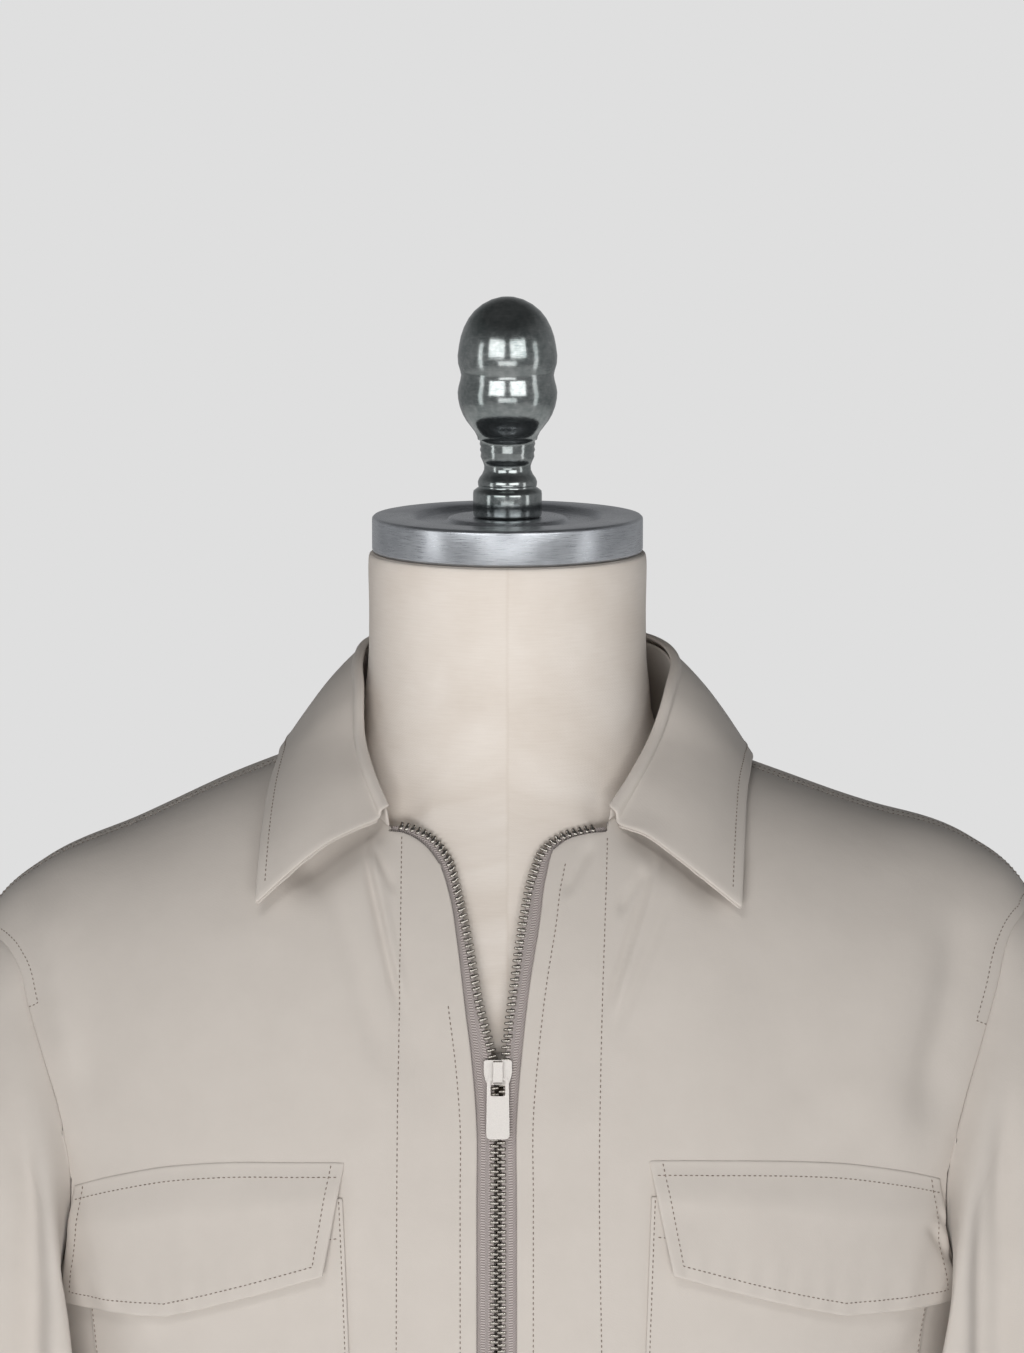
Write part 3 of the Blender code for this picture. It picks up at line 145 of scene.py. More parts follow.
# A front's folded edge and its row of teeth, as distances and drops, from the curl to the hem.
ZIP_RIGHT_HAND = Table("edge_x edge_drop teeth_x teeth_drop", """
    -.0515 .111 -.0505 .1085  -.043 .1128 -.0412 .1098  -.0352 .117 -.0325 .1135  -.029 .1245 -.0255 .1215
    -.0245 .137 -.0212 .135  -.0212 .156 -.0167 .1545  -.018 .181 -.0122 .179  -.0148 .206 -.0062 .204
    -.013 .23 -.0056 .23  -.013 .26 -.0056 .26  -.013 .79 -.0056 .79
""")
ZIP_LEFT_HAND = Table("edge_x edge_drop teeth_x teeth_drop", """
    .0435 .1118 .0425 .109  .0335 .1125 .0323 .1104  .0258 .1145 .024 .1124  .02 .1185 .0165 .117
    .0165 .129 .0112 .1272  .0138 .147 .0068 .146  .01 .169 .0034 .169  .0062 .2 -.0006 .2
    .004 .227 -.0024 .227  .004 .26 -.0024 .26  .004 .79 -.0024 .79
""")
CURL_STATION = 3            # the station where the zip's top curl turns downward
CURL_COLUMNS = 2            # columns of a front along the curl
NECK_COLUMNS = 5            # columns of a front along the neck seam
YOKE_ROWS = 7               # rows of the yoke, above the level of the pockets
YOKE_LEVEL = 0.607          # the level of its last row
INNER_ANGLES = (4.5, 8.5)   # columns of a front between the zip and the pocket
SIDE_COLUMNS = 4            # columns of a front between the pocket and the side seam
BACK_NECK_COLUMNS = 4       # columns of half the back along the neck seam
BACK_COLUMNS = 11           # all columns of half the back
POCKET_ANGLES = (14.0, 20.0, 26.0, 32.0, 38.0, 45.6, 53.2)
POCKET_LEVELS = (0.668, 0.70, 0.80, 0.90, 1.00, 1.08, 1.14, 1.26)
POCKET_SHIFT = 1.1          # degrees by which both pockets sit off towards the right
# Angles and levels of a flap's top and bottom edge.
FLAP_EDGE = Table("top_angle top_level bottom_angle bottom_level", """
    13.6 .613 16.4 .788  20 .603 20.8 .804  26 .594 26.2 .822  32 .589 32 .84  38 .589 38 .857
    45.6 .599 46.8 .856  53.2 .618 58 .85
""")
# Direction and reach with which a sleeve leaves the armhole, at shares of the way down it.
SLEEVE_HEAD = Table("share out face down reach", """
    0 .62 0 .78 .07  .25 .8 .25 .55 .05  .5 .5 .72 .45 .036  .7 .12 .9 .4 .03  .88 .45 .75 .35 .022
    1 .95 .05 .3 .014
""")
# The rings of a sleeve below its head.
SLEEVE = Table("drop centre_x centre_y half_width half_depth swing", """
    .44 .248 -.04 .041 .074 .062  .51 .249 -.041 .039 .07 .05  .58 .251 -.043 .036 .065 .034
    .66 .253 -.046 .0325 .058 .018  .745 .2545 -.048 .03 .053 .008
""")
# Soft folds: a run from one place to another, its half width and its height. The large ones,
# which the frame has too, and then the finer creases.
FOLD = "x0 drop0 x1 drop1 width height"
FOLDS = {
    "front": Table(FOLD, """
        .196 .16 .176 .235 .013 -.0024  .176 .15 .152 .235 .014 .0018  -.198 .15 -.186 .215 .009 .0024
        .06 .125 .03 .215 .009 -.0016  -.06 .122 -.034 .22 .011 -.0022  .15 .47 .125 .79 .022 -.006
        -.145 .5 -.13 .79 .024 -.0055
    """),
    "back": Table(FOLD, """
        .11 .38 .085 .79 .024 -.006  -.095 .42 -.085 .79 .022 -.0055  .19 .2 .15 .33 .012 .0028
        -.19 .19 -.155 .32 .012 .0028
    """),
}
CREASES = {
    "front": Table(FOLD, """
        -.093 .1305 -.055 .1035 .0105 -.0075  .096 .133 .053 .1035 .0105 -.0075
        -.062 .118 -.0465 .18 .0021 -.0018  -.059 .118 -.044 .178 .0024 .0015
        -.058 .117 -.0485 .134 .0018 -.0015  -.076 .13 -.053 .205 .006 -.0016
        .0633 .123 .0435 .18 .0021 -.0016  .0665 .123 .0465 .18 .0024 .0014  .072 .133 .047 .19 .002 -.0012
        .059 .127 .048 .142 .0019 -.0016  .036 .117 .0245 .135 .0024 -.0014  .2 .15 .18 .23 .01 -.0018
        .188 .165 .165 .255 .01 .0014  -.196 .15 -.178 .225 .008 -.0012  .18 .282 .1895 .3 .0022 -.0013
        .184 .276 .1915 .29 .0018 -.001  .11 .16 .12 .225 .02 -.0008  -.118 .16 -.112 .23 .022 -.0008
        -.15 .322 -.182 .3 .007 .0014  .165 .33 .192 .3 .007 .0012  .06 .62 .05 .79 .018 .003
        -.062 .64 -.056 .79 .018 .0028
    """),
    "back": Table(FOLD, """
        .02 .48 .015 .79 .022 .003  .06 .14 .02 .3 .025 -.001  -.06 .14 -.02 .3 .025 -.001
    """),
    "sleeve": Table(FOLD, """
        -.206 .2 -.205 .44 .008 -.0068  -.1945 .215 -.195 .4 .0065 .0022  -.233 .19 -.23 .46 .013 .003
        .203 .26 .204 .48 .005 -.006  .213 .2 .214 .44 .0075 -.006  .2 .205 .2 .42 .006 .002
        .238 .19 .234 .46 .013 .003  -.27 .5 -.22 .53 .009 -.003  -.285 .56 -.225 .585 .01 .0026
        -.275 .64 -.23 .655 .009 -.0024  .27 .49 .222 .525 .009 -.003  .285 .57 .225 .59 .01 .0026
        .276 .63 .23 .66 .009 -.0024
    """),
}
# The form's rings: size and drop at the side, front and back, and squareness.
FORM_RINGS = Table("half_width side_drop front front_drop back back_drop square", """
    .059 .0004 .059 .0004 .059 .0004 2  .061 .004 .061 .004 .061 .004 2  .0608 .03 .0608 .03 .0608 .03 2
    .062 .056 .0625 .062 .063 .054 2  .069 .083 .069 .098 .069 .082 2.05  .105 .098 .083 .13 .085 .109 2.1
    .15 .114 .096 .165 .094 .145 2.2  .19 .13 .106 .205 .1 .185 2.3  .208 .156 .112 .25 .103 .235 2.35
    .204 .205 .116 .29 .104 .28 2.35  .19 .29 .118 .33 .103 .32 2.35  .172 .38 .116 .39 .1 .39 2.3
    .156 .5 .103 .5 .09 .5 2.2  .168 .63 .104 .63 .098 .63 2.2  .176 .72 .106 .72 .104 .72 2.2
    .173 .822 .104 .822 .102 .822 2.2  .166 .83 .097 .83 .095 .83 2.2
""")
# Outlines of the turned cap and finial, from the top to the foot.
CAP = Table("radius height", """
    0 .015  .016 .015  .025 .015  .0258 .0147  .0264 .0138  .0272 .0134  .0392 .0134  .0406 .0137
    .0418 .015  .043 .0157  .0572 .0157  .0586 .0155  .0593 .0148  .0594 .014  .0594 .0014  .0591 .0005
    .0584 0  0 0
""")
FINIAL = Table("radius height", """
    0 .0963  .003 .0961  .007 .095  .011 .0929  .0145 .09  .017 .0868  .019 .083  .0204 .079  .0212 .075
    .0218 .0705  .0216 .067  .0207 .064  .0203 .062  .0206 .06  .0214 .057  .0218 .0545  .0216 .0515
    .0209 .0482  .0196 .0448  .018 .042  .016 .0394  .0143 .0372  .0133 .0352  .013 .0338  .0119 .0332
    .0122 .0318  .0117 .0306  .0121 .0292  .0116 .028  .0118 .0262  .0108 .024  .0102 .0222  .0103 .0204
    .0112 .0184  .0124 .0168  .013 .0152  .0129 .0138  .0126 .0128  .0136 .0122  .0149 .0112  .0151 .01
    .0151 .0012  .0148 .0003  .0141 0  0 0
""")


# ---------------------------------------------------------------- arithmetic on arrays
def unit(vectors: Array) -> Array:
    """Return the vectors scaled to length one; a zero vector stays zero."""
    length = np.linalg.norm(vectors, axis=-1, keepdims=True)
    return vectors / np.maximum(length, 1e-12)


def smoothstep(t: Array | float) -> Array:
    """Return 0 below 0, 1 above 1 and t*t*(3 - 2*t) between."""
    t = np.clip(t, 0.0, 1.0)
    return t * t * (3.0 - 2.0 * t)


def smooth_line(knots: Array, values: Array, at: Array | float) -> Array:
    """Read a smooth curve through knots.

    Formula: in each span the cubic with the span's end values and end slopes, where a slope
    is the central difference of the values over the knots.

    Args:
        knots: rising positions.
        values: the values there.
        at: where the curve is read; places outside take the end value.

    Returns:
        The curve's values.
    """
    knots = np.asarray(knots, float)
    values = np.asarray(values, float)
    slopes = np.gradient(values, knots)
    at = np.clip(np.asarray(at, float), knots[0], knots[-1])
    index = np.clip(np.searchsorted(knots, at, side="right") - 1, 0, len(knots) - 2)
    step = knots[index + 1] - knots[index]
    t = (at - knots[index]) / step
    start = (2 * t**3 - 3 * t**2 + 1) * values[index] + (t**3 - 2 * t**2 + t) * step * slopes[index]
    end = (3 * t**2 - 2 * t**3) * values[index + 1] + (t**3 - t**2) * step * slopes[index + 1]
    return start + end


def refine(values: Array, pieces: int, smooth: bool = False) -> Array:
    """Split every step between rows of values into equal pieces.

    Formula: row i + t is (1 - t) times row i plus t times row i + 1, or, if smooth, the
    cubic with those ends and with the central differences as slopes.

    Args:
        values: rows of numbers or points.
        pieces: pieces that each step is split into.
        smooth: whether the rows lie on a smooth curve.

    Returns:
        The finer rows.
    """
    values = np.asarray(values, float)
    at = np.arange((len(values) - 1) * pieces + 1) / pieces
    low = np.minimum(at.astype(int), len(values) - 2)
    t = (at - low).reshape(-1, *[1] * (values.ndim - 1))
    if not smooth:
        return values[low] * (1 - t) + values[low + 1] * t
    slopes = np.gradient(values, axis=0)
    return ((2 * t**3 - 3 * t**2 + 1) * values[low] + (t**3 - 2 * t**2 + t) * slopes[low]
            + (3 * t**2 - 2 * t**3) * values[low + 1] + (t**3 - t**2) * slopes[low + 1])


def relaxed(grid: Array, rounds: int) -> Array:
    """Return a grid whose inner points are evened out.

    Formula: in every round each inner point becomes the mean of its four neighbours.

    Args:
        grid: rows and columns of points; its borders stay.
        rounds: how often.

    Returns:
        The evened grid.
    """
    grid = grid.copy()
    for _ in range(rounds):
        grid[1:-1, 1:-1] = (grid[2:, 1:-1] + grid[:-2, 1:-1] + grid[1:-1, 2:] + grid[1:-1, :-2]) / 4.0
    return grid


def fold_height(folds: dict[str, Table], part: str, x: Array, drop: Array) -> Array:
    """Add up the soft folds of one part.

    Formula: each fold is its height times exp(-(across / width)^2), where across is the
    distance from its run, faded out by a smooth step at both ends of the run.

    Args:
        folds: the table of each part's folds.
        part: the part.
        x: signed distances from the axis.
        drop: drops below the neck's top.

    Returns:
        The height of the folds at each place.
    """
    total = np.zeros_like(x)
    for x0, drop0, x1, drop1, width, height in folds[part].rows:
        run = np.array([x1 - x0, drop1 - drop0])
        length = np.hypot(*run)
        along = ((x - x0) * run[0] + (drop - drop0) * run[1]) / length**2
        across = ((x - x0) * run[1] - (drop - drop0) * run[0]) / length
        ends = smoothstep((along + 0.15) / 0.35) * smoothstep((1.15 - along) / 0.35)
        total = total + height * np.exp(-((across / width) ** 2)) * ends
    return total


def slow_waves(x: Array, y: Array, length: float, seed: int) -> Array:
    """Draw soft unevenness between about -1 and 1.

    Formula: the mean of seven sine waves whose directions and phases come from a seeded
    generator, and whose lengths lie round the given one.

    Args:
        x: places.
        y: places across.
        length: the wave length.
        seed: sets the directions and phases.

    Returns:
        The heights.
    """
    chance = np.random.default_rng(seed)
    total = np.zeros(np.broadcast(x, y).shape)
    for turn, phase, size in chance.random((7, 3)):
        angle = turn * math.tau
        wave = math.tau / (length * (0.6 + size))
        total = total + np.sin((x * math.cos(angle) + y * math.sin(angle)) * wave + phase * math.tau)
    return total / 3.5


# ---------------------------------------------------------------- the body's surface
@dataclass(frozen=True)
class BodySurface:
    """The one surface that the panels, pockets and flaps lie on."""

    chest_drop: float = 0.350
    level_step: float = 0.250
    squareness: float = 2.3
    front_rise: float = 2.2
    back_rise: float = 3.0
    lean: float = 0.0055
    lean_start: float = 0.100
    lean_run: float = 0.130
    armhole_in: float = 0.0045
    in_start: float = 0.2           # the right armhole's inward shift: levels of its rise, end and fade
    in_end: float = 0.75
    in_fade: float = 0.3
    bump_step: float = 0.01
    level_turn: float = 60.0        # degrees that a level stands for, below the chest
    uneven: float = 0.0002          # the cloth's slow waves: height, length and seed
    wave: float = 0.055
    wave_seed: int = 7
    fold_end: float = 88.0          # the angle where folds end, and the degrees of their fading
    fold_fade: float = 18.0
    outward_rise: float = 0.05      # how far upward "outward" points
    yoke_front: float = 0.135       # depths of the yoke
    yoke_back: float = 0.118
    rounds: int = 6

    def shoulder_drop(self, x: Array) -> Array:
        """Find the drop of the shoulder line.

        Args:
            x: signed distances from the axis.

        Returns:
            The drops.
        """
        lean = self.lean * smoothstep((np.abs(x) - self.lean_start) / self.lean_run)
        drop = smooth_line(SHOULDER_LINE["out"], SHOULDER_LINE["drop"], np.abs(x))
        return drop - np.sign(x) * lean

    def half_width(self, level: Array) -> Array:
        """Return the half width of the body at a level."""
        return smooth_line(GIRTHS["level"], GIRTHS["half_width"], level)

    def depth(self, level: Array, face: Face) -> Array:
        """Work out the body's depth: the full depth times (1 - (1 - level)^p)^(1 / p).

        Args:
            level: levels.
            face: front or back.

        Returns:
            The depths.
        """
        power = self.front_rise if face is Face.FRONT else self.back_rise
        full = smooth_line(GIRTHS["level"], GIRTHS[face.value], level)
        return full * (1.0 - (1.0 - np.clip(level, 0.0, 1.0)) ** power) ** (1.0 / power)

    def roll_of(self, level: Array) -> Array:
        """Return the turn in degrees over the shoulder, 90 at level 1, that evens out the rows."""
        upper = np.degrees(np.arccos((1.0 - np.clip(level, 0.0, 1.0)) ** (self.front_rise / 2.0)))
        return np.where(level < 1.0, upper, 90.0 + (level - 1.0) * self.level_turn)

    def level_of(self, roll: Array) -> Array:
        """Return the level of a turn over the shoulder."""
        upper = 1.0 - np.cos(np.radians(np.clip(roll, 0.0, 90.0))) ** (2.0 / self.front_rise)
        return np.where(roll < 90.0, upper, 1.0 + (roll - 90.0) / self.level_turn)

    def drop_at(self, x: Array, level: Array) -> Array:
        """Turn levels into drops.

        Args:
            x: signed distances from the axis.
            level: levels.

        Returns:
            The drops.
        """
        top = self.shoulder_drop(x)
        lower = self.chest_drop + (level - 1.0) * self.level_step
        return np.where(level < 1.0, top + level * (self.chest_drop - top), lower)

    def level_at(self, x: Array, drop: Array) -> Array:
        """Turn drops into levels.

        Args:
            x: signed distances from the axis.
            drop: drops.

        Returns:
            The levels.
        """
        top = self.shoulder_drop(x)
        upper = np.clip((drop - top) / (self.chest_drop - top), 0.0, 1.0)
        return np.where(drop < self.chest_drop, upper, 1.0 + (drop - self.chest_drop) / self.level_step)

    def angle_at(self, x: Array, level: Array) -> Array:
        """Return the angle: the arc sine of (distance over half width) to half the squareness."""
        share = np.clip(np.abs(x) / self.half_width(level), 0.0, 1.0)
        return np.degrees(np.arcsin(share ** (self.squareness / 2.0)))

    def plain(self, angle: Array, level: Array, side: Array, face: Face) -> Array:
        """Work out points of the oval body without folds.

        Formula: x is the half width times sin(angle)^(2 / squareness), y the depth times
        cos(angle)^(2 / squareness), and the drop that of the place's level.

        Args:
            angle: angles from the middle.
            level: levels.
            side: the side.
            face: front or back.

        Returns:
            The points.
        """
        turn = np.radians(angle)
        x = self.half_width(level) * np.abs(np.sin(turn)) ** (2.0 / self.squareness)
        y = self.depth(level, face) * np.clip(np.cos(turn), 0.0, 1.0) ** (2.0 / self.squareness)
        sign = -1.0 if face is Face.FRONT else 1.0
        return np.stack([side * x, sign * y, -self.drop_at(side * x, level)], axis=-1)

    def point(self, angle: Array, level: Array, side: Array, face: Face, lift: Array | float = 0.0) -> Array:
        """Return points of the cloth's outer face, moved out along the surface's normal.

        Args:
            angle: angles in degrees.
            level: levels.
            side: 1 for the wearer's left, -1 for the right.
            face: front or back.
            lift: height above the panel's outer face.

        Returns:
            The points, relative to the top of the form's neck.
        """
        angle, level = np.broadcast_arrays(np.asarray(angle, float), np.asarray(level, float))
        place = self.plain(angle, level, side, face)
        step = self.bump_step
        across = self.plain(angle + step, level, side, face) - self.plain(angle - step, level, side, face)
        down = self.plain(angle, level + step, side, face) - self.plain(angle, level - step, side, face)
        normal = unit(np.cross(across, down) + 1e-12)
        outward = np.stack([place[..., 0], place[..., 1], np.full(angle.shape, self.outward_rise)], axis=-1)
        normal = normal * np.sign(np.sum(normal * outward, axis=-1))[..., None]
        x, drop = place[..., 0], -place[..., 2]
        side_fade = smoothstep((self.fold_end - angle) / self.fold_fade)
        height = fold_height(FOLDS, face.value, x, drop) + fold_height(CREASES, face.value, x, drop)
        height = height + self.uneven * slow_waves(x, drop, self.wave, self.wave_seed)
        return place + normal * (height * side_fade + lift)[..., None]

    def front(self, x: Array, drop: Array, lift: float = 0.0) -> Array:
        """Work out points of the front.

        Args:
            x: signed distances from the axis.
            drop: drops.
            lift: the height above the cloth.

        Returns:
            The points.
        """
        x, drop = np.asarray(x, float), np.asarray(drop, float)
        level = self.level_at(x, drop)
        angle = np.maximum(self.angle_at(x, level), 0.05)
        return self.point(angle, level, np.where(x < 0.0, -1.0, 1.0), Face.FRONT, lift)

    def height_over(self, x: Array, y: Array) -> tuple[Array, Array]:
        """Find the cloth over places in plan.

        Formula: some rounds of setting the level so that its oval passes through the place.

        Args:
            x: signed distances from the axis.
            y: distances behind the axis.

        Returns:
            Its heights and levels.
        """
        full = np.where(y < 0.0, self.yoke_front, self.yoke_back)
        power = np.where(y < 0.0, self.front_rise, self.back_rise)
        level = np.zeros_like(x)
        for _ in range(self.rounds):
            share = np.clip(np.abs(x) / self.half_width(level), 0.0, 0.999)
            oval = (1.0 - share**self.squareness) ** (1.0 / self.squareness)
            needed = np.clip(np.abs(y) / (full * oval), 0.0, 0.999)
            level = 1.0 - (1.0 - needed**power) ** (1.0 / power)
        return -self.drop_at(x, level), level

    # ------------------------------------------------------------ outlines of the panels
    def armhole_angles(self, levels: Array, face: Face, side: Side) -> Array:
        """Find the angles of the armhole, and of the side seam below it.

        Args:
            levels: levels.
            face: front or back.
            side: the side.

        Returns:
            The angles.
        """
        outs = smooth_line(ARMHOLE["level"], ARMHOLE[f"{face.value}_out"], levels)
        if side is Side.RIGHT and face is Face.FRONT:
            outs = outs - self.armhole_in * smoothstep(levels / self.in_start) * smoothstep(
                (self.in_end - levels) / self.in_fade)
        last = ARMHOLE["level"][-1]
        angles = self.angle_at(outs, levels)
        end = self.angle_at(smooth_line(ARMHOLE["level"], ARMHOLE[f"{face.value}_out"], last), last)
        below = end + (90.0 - end) * np.clip((levels - last) / (UNDERARM_LEVEL - last), 0.0, 1.0)
        return np.where(levels <= last, angles, below)

    def row_levels(self) -> Array:
        """Return the levels of the panels' rows, from the shoulder to the hem."""
        return np.concatenate([ARMHOLE["level"], [UNDERARM_LEVEL], LOWER_LEVELS])

    def side_edge(self, face: Face, side: Side, fine: int) -> Array:
        """Return (angle, level) pairs down the armhole and the side seam."""
        levels = refine(self.row_levels(), fine)
        return np.stack([self.armhole_angles(levels, face, side), levels], axis=-1)

    def seam_share(self, side: Side) -> float:
        """Find the share along the collar at which its seam crosses the shoulder seam.

        Args:
            side: the side.

        Returns:
            The share.
        """
        low, high = 0.0, 1.0
        for _ in range(40):
            middle = (low + high) / 2.0
            ahead = collar_station(np.array([middle]), side)[0][0, 1] > 0.0
            low, high = (middle, high) if ahead else (low, middle)
        return low

    def top_edge(self, side: Side, face: Face, neck: int, shoulder: int) -> Array:
        """Follow the neck seam and then the shoulder seam.

        Args:
            side: the side.
            face: front or back.
            neck: columns along the neck.
            shoulder: columns along the shoulder.

        Returns:
            (angle, level) pairs.
        """
        start = 1.0 if face is Face.FRONT else 0.0
        shares = np.linspace(start, self.seam_share(side), neck + 1)
        seam = collar_station(shares, side)[0]
        level = self.height_over(seam[:, 0], seam[:, 1])[1]
        level[-1] = 0.0
        at_neck = np.stack([self.angle_at(seam[:, 0], level), level], axis=-1)
        outs = np.linspace(abs(seam[-1, 0]), ARMHOLE["front_out"][0], shoulder + 1)[1:]
        along = np.stack([self.angle_at(outs, np.zeros(shoulder)), np.zeros(shoulder)], axis=-1)
        return np.vstack([at_neck, along])

    def patch(self, top: Array, bottom: Array, first: Array, last: Array) -> Array:
        """Fill the yoke between four edges of (angle, level) pairs.

        Formula: the blend of the two ruled patches between opposite edges, less the patch
        of the four corners, worked out on (angle, turn over the shoulder).

        Args:
            top: the upper edge.
            bottom: the lower edge.
            first: the edge at the first column.
            last: the edge at the last column.

        Returns:
            The grid of pairs.
        """
        edges = [np.column_stack([edge[:, 0], self.roll_of(edge[:, 1])]) for edge in (top, bottom, first, last)]
        top, bottom, first, last = edges
        v = np.linspace(0.0, 1.0, len(first))[:, None, None]
        u = np.linspace(0.0, 1.0, len(top))[None, :, None]
        blend = ((1 - u) * first[:, None, :] + u * last[:, None, :]
                 + (1 - v) * top[None, :, :] + v * bottom[None, :, :])
        corners = ((1 - u) * (1 - v) * top[0] + u * (1 - v) * top[-1]
                   + (1 - u) * v * bottom[0] + u * v * bottom[-1])
        patch = blend - corners
        patch[..., 1] = self.level_of(patch[..., 1])
        return patch

    def on_body(self, points: Array) -> Array:
        """Return the (angle, level) pairs of (x, drop) points of the front."""
        level = self.level_at(points[:, 0], points[:, 1])
        return np.stack([self.angle_at(points[:, 0], level), level], axis=-1)


def collar_station(share: Array, side: Side) -> tuple[Array, Array, Array, Array, Array]:
    """Work out the collar's lines.

    Args:
        share: shares from back to front.
        side: the side.

    Returns:
        Seam, fold, fold drop, brim and brim lift.
    """
    knots = np.linspace(0.0, 1.0, len(COLLAR.rows))
    read = {name: smooth_line(knots, values, share) for name, values in COLLAR.columns.items()}
    seam, fold, edge = (np.stack([side.value * read[f"{line}_x"] + read["shift"], read[f"{line}_y"]], axis=-1)
                        for line in ("seam", "fold", "edge"))
    return seam, fold, read["fold_drop"], edge, read["lift"]


# ---------------------------------------------------------------- sheets and meshes
def running(points: Array, axis: int = 0) -> Array:
    """Return the running length at every point of a line, or of a grid's lines, from 0."""
    steps = np.linalg.norm(np.diff(points, axis=axis), axis=-1)
    return np.cumsum(np.insert(steps, 0, 0.0, axis=axis), axis=axis)


def grid_normals(points: Array, closed: bool) -> Array:
    """Work out unit normals of a grid: the cross product of its steps down and across.

    Args:
        points: the grid.
        closed: whether the grid runs round a tube.

    Returns:
        The normals.
    """
    down = np.gradient(points, axis=0)
    if closed:
        across = (np.roll(points, -1, axis=1) - np.roll(points, 1, axis=1)) / 2.0
    else:
        across = np.gradient(points, axis=1)
    return unit(np.cross(down, across))


def leaving(values: Array, closed: bool) -> Array:
    """Work out unit steps that leave a grid at its borders, and zero inside.

    Formula: at each border the step from the second row or column to the first; a corner
    has the sum of its two, scaled to length one.

    Args:
        values: the grid.
        closed: whether the grid runs round a tube.

    Returns:
        The steps.
    """
    away = np.zeros_like(values)
    away[0] += unit(values[0] - values[1])
    away[-1] += unit(values[-1] - values[-2])
    if not closed:
        away[:, 0] += unit(values[:, 0] - values[:, 1])
        away[:, -1] += unit(values[:, -1] - values[:, -2])
    return unit(away)


def quads_of(rows: int, columns: int, wrap: bool) -> Array:
    """Number the corners of a grid's quads.

    Args:
        rows: rows.
        columns: columns.
        wrap: whether the last column joins the first.

    Returns:
        The quads, row by row.
    """
    row, step = np.meshgrid(np.arange(rows - 1), np.arange(columns if wrap else columns - 1), indexing="ij")
    after = (step + 1) % columns
    corners = [row * columns + step, (row + 1) * columns + step, (row + 1) * columns + after, row * columns + after]
    return np.stack(corners, axis=-1).reshape(-1, 4)


def stand(name: str, data: bpy.types.ID) -> bpy.types.Object:
    """Put a new object into the scene.

    Args:
        name: its name.
        data: its mesh, lamp or camera.

    Returns:
        The object.
    """
    thing = bpy.data.objects.new(name, data)
    bpy.context.scene.collection.objects.link(thing)
    return thing


def remade(source: bpy.types.Mesh, target: bpy.types.Mesh, merge: float = 0.0, flatten: bool = False) -> None:
    """Copy a mesh, join points that coincide, and turn its faces outwards.

    Args:
        source: the mesh that is read.
        target: the mesh that is written; it may be the same one.
        merge: points nearer than this become one.
        flatten: whether faces that lie in one plane are joined.
    """
    work = bmesh.new()
    work.from_mesh(source)
    if merge:
        bmesh.ops.remove_doubles(work, verts=work.verts, dist=merge)
    if flatten:
        bmesh.ops.dissolve_limit(work, angle_limit=math.radians(1.0), verts=work.verts, edges=work.edges)
    bmesh.ops.recalc_face_normals(work, faces=work.faces)
    work.to_mesh(target)
    work.free()


def make_mesh(name: str, vertices: Array, faces: Array, chart: Array | None = None) -> bpy.types.Object:
    """Make a smooth-shaded object from arrays.

    Args:
        name: the piece's name.
        vertices: points in the frame.
        faces: quads; a triangle repeats its last corner and is cleaned up.
        chart: for each quad the flat (u, v) in metres of its four corners.

    Returns:
        The object, linked to the scene.
    """
    mesh = bpy.data.meshes.new(name)
    mesh.vertices.add(len(vertices))
    mesh.vertices.foreach_set("co", np.ascontiguousarray(vertices, dtype=np.float32).ravel())
    mesh.loops.add(faces.size)
    mesh.loops.foreach_set("vertex_index", faces.astype(np.int32).ravel())
    mesh.polygons.add(len(faces))
    mesh.polygons.foreach_set("loop_start", np.arange(0, faces.size, 4, dtype=np.int32))
    if chart is not None:
        layer = mesh.uv_layers.new(name="flat")
        layer.uv.foreach_set("vector", np.ascontiguousarray(chart, dtype=np.float32).ravel())
    mesh.update(calc_edges=True)
    mesh.validate()
    mesh.shade_smooth()
    return stand(name, mesh)


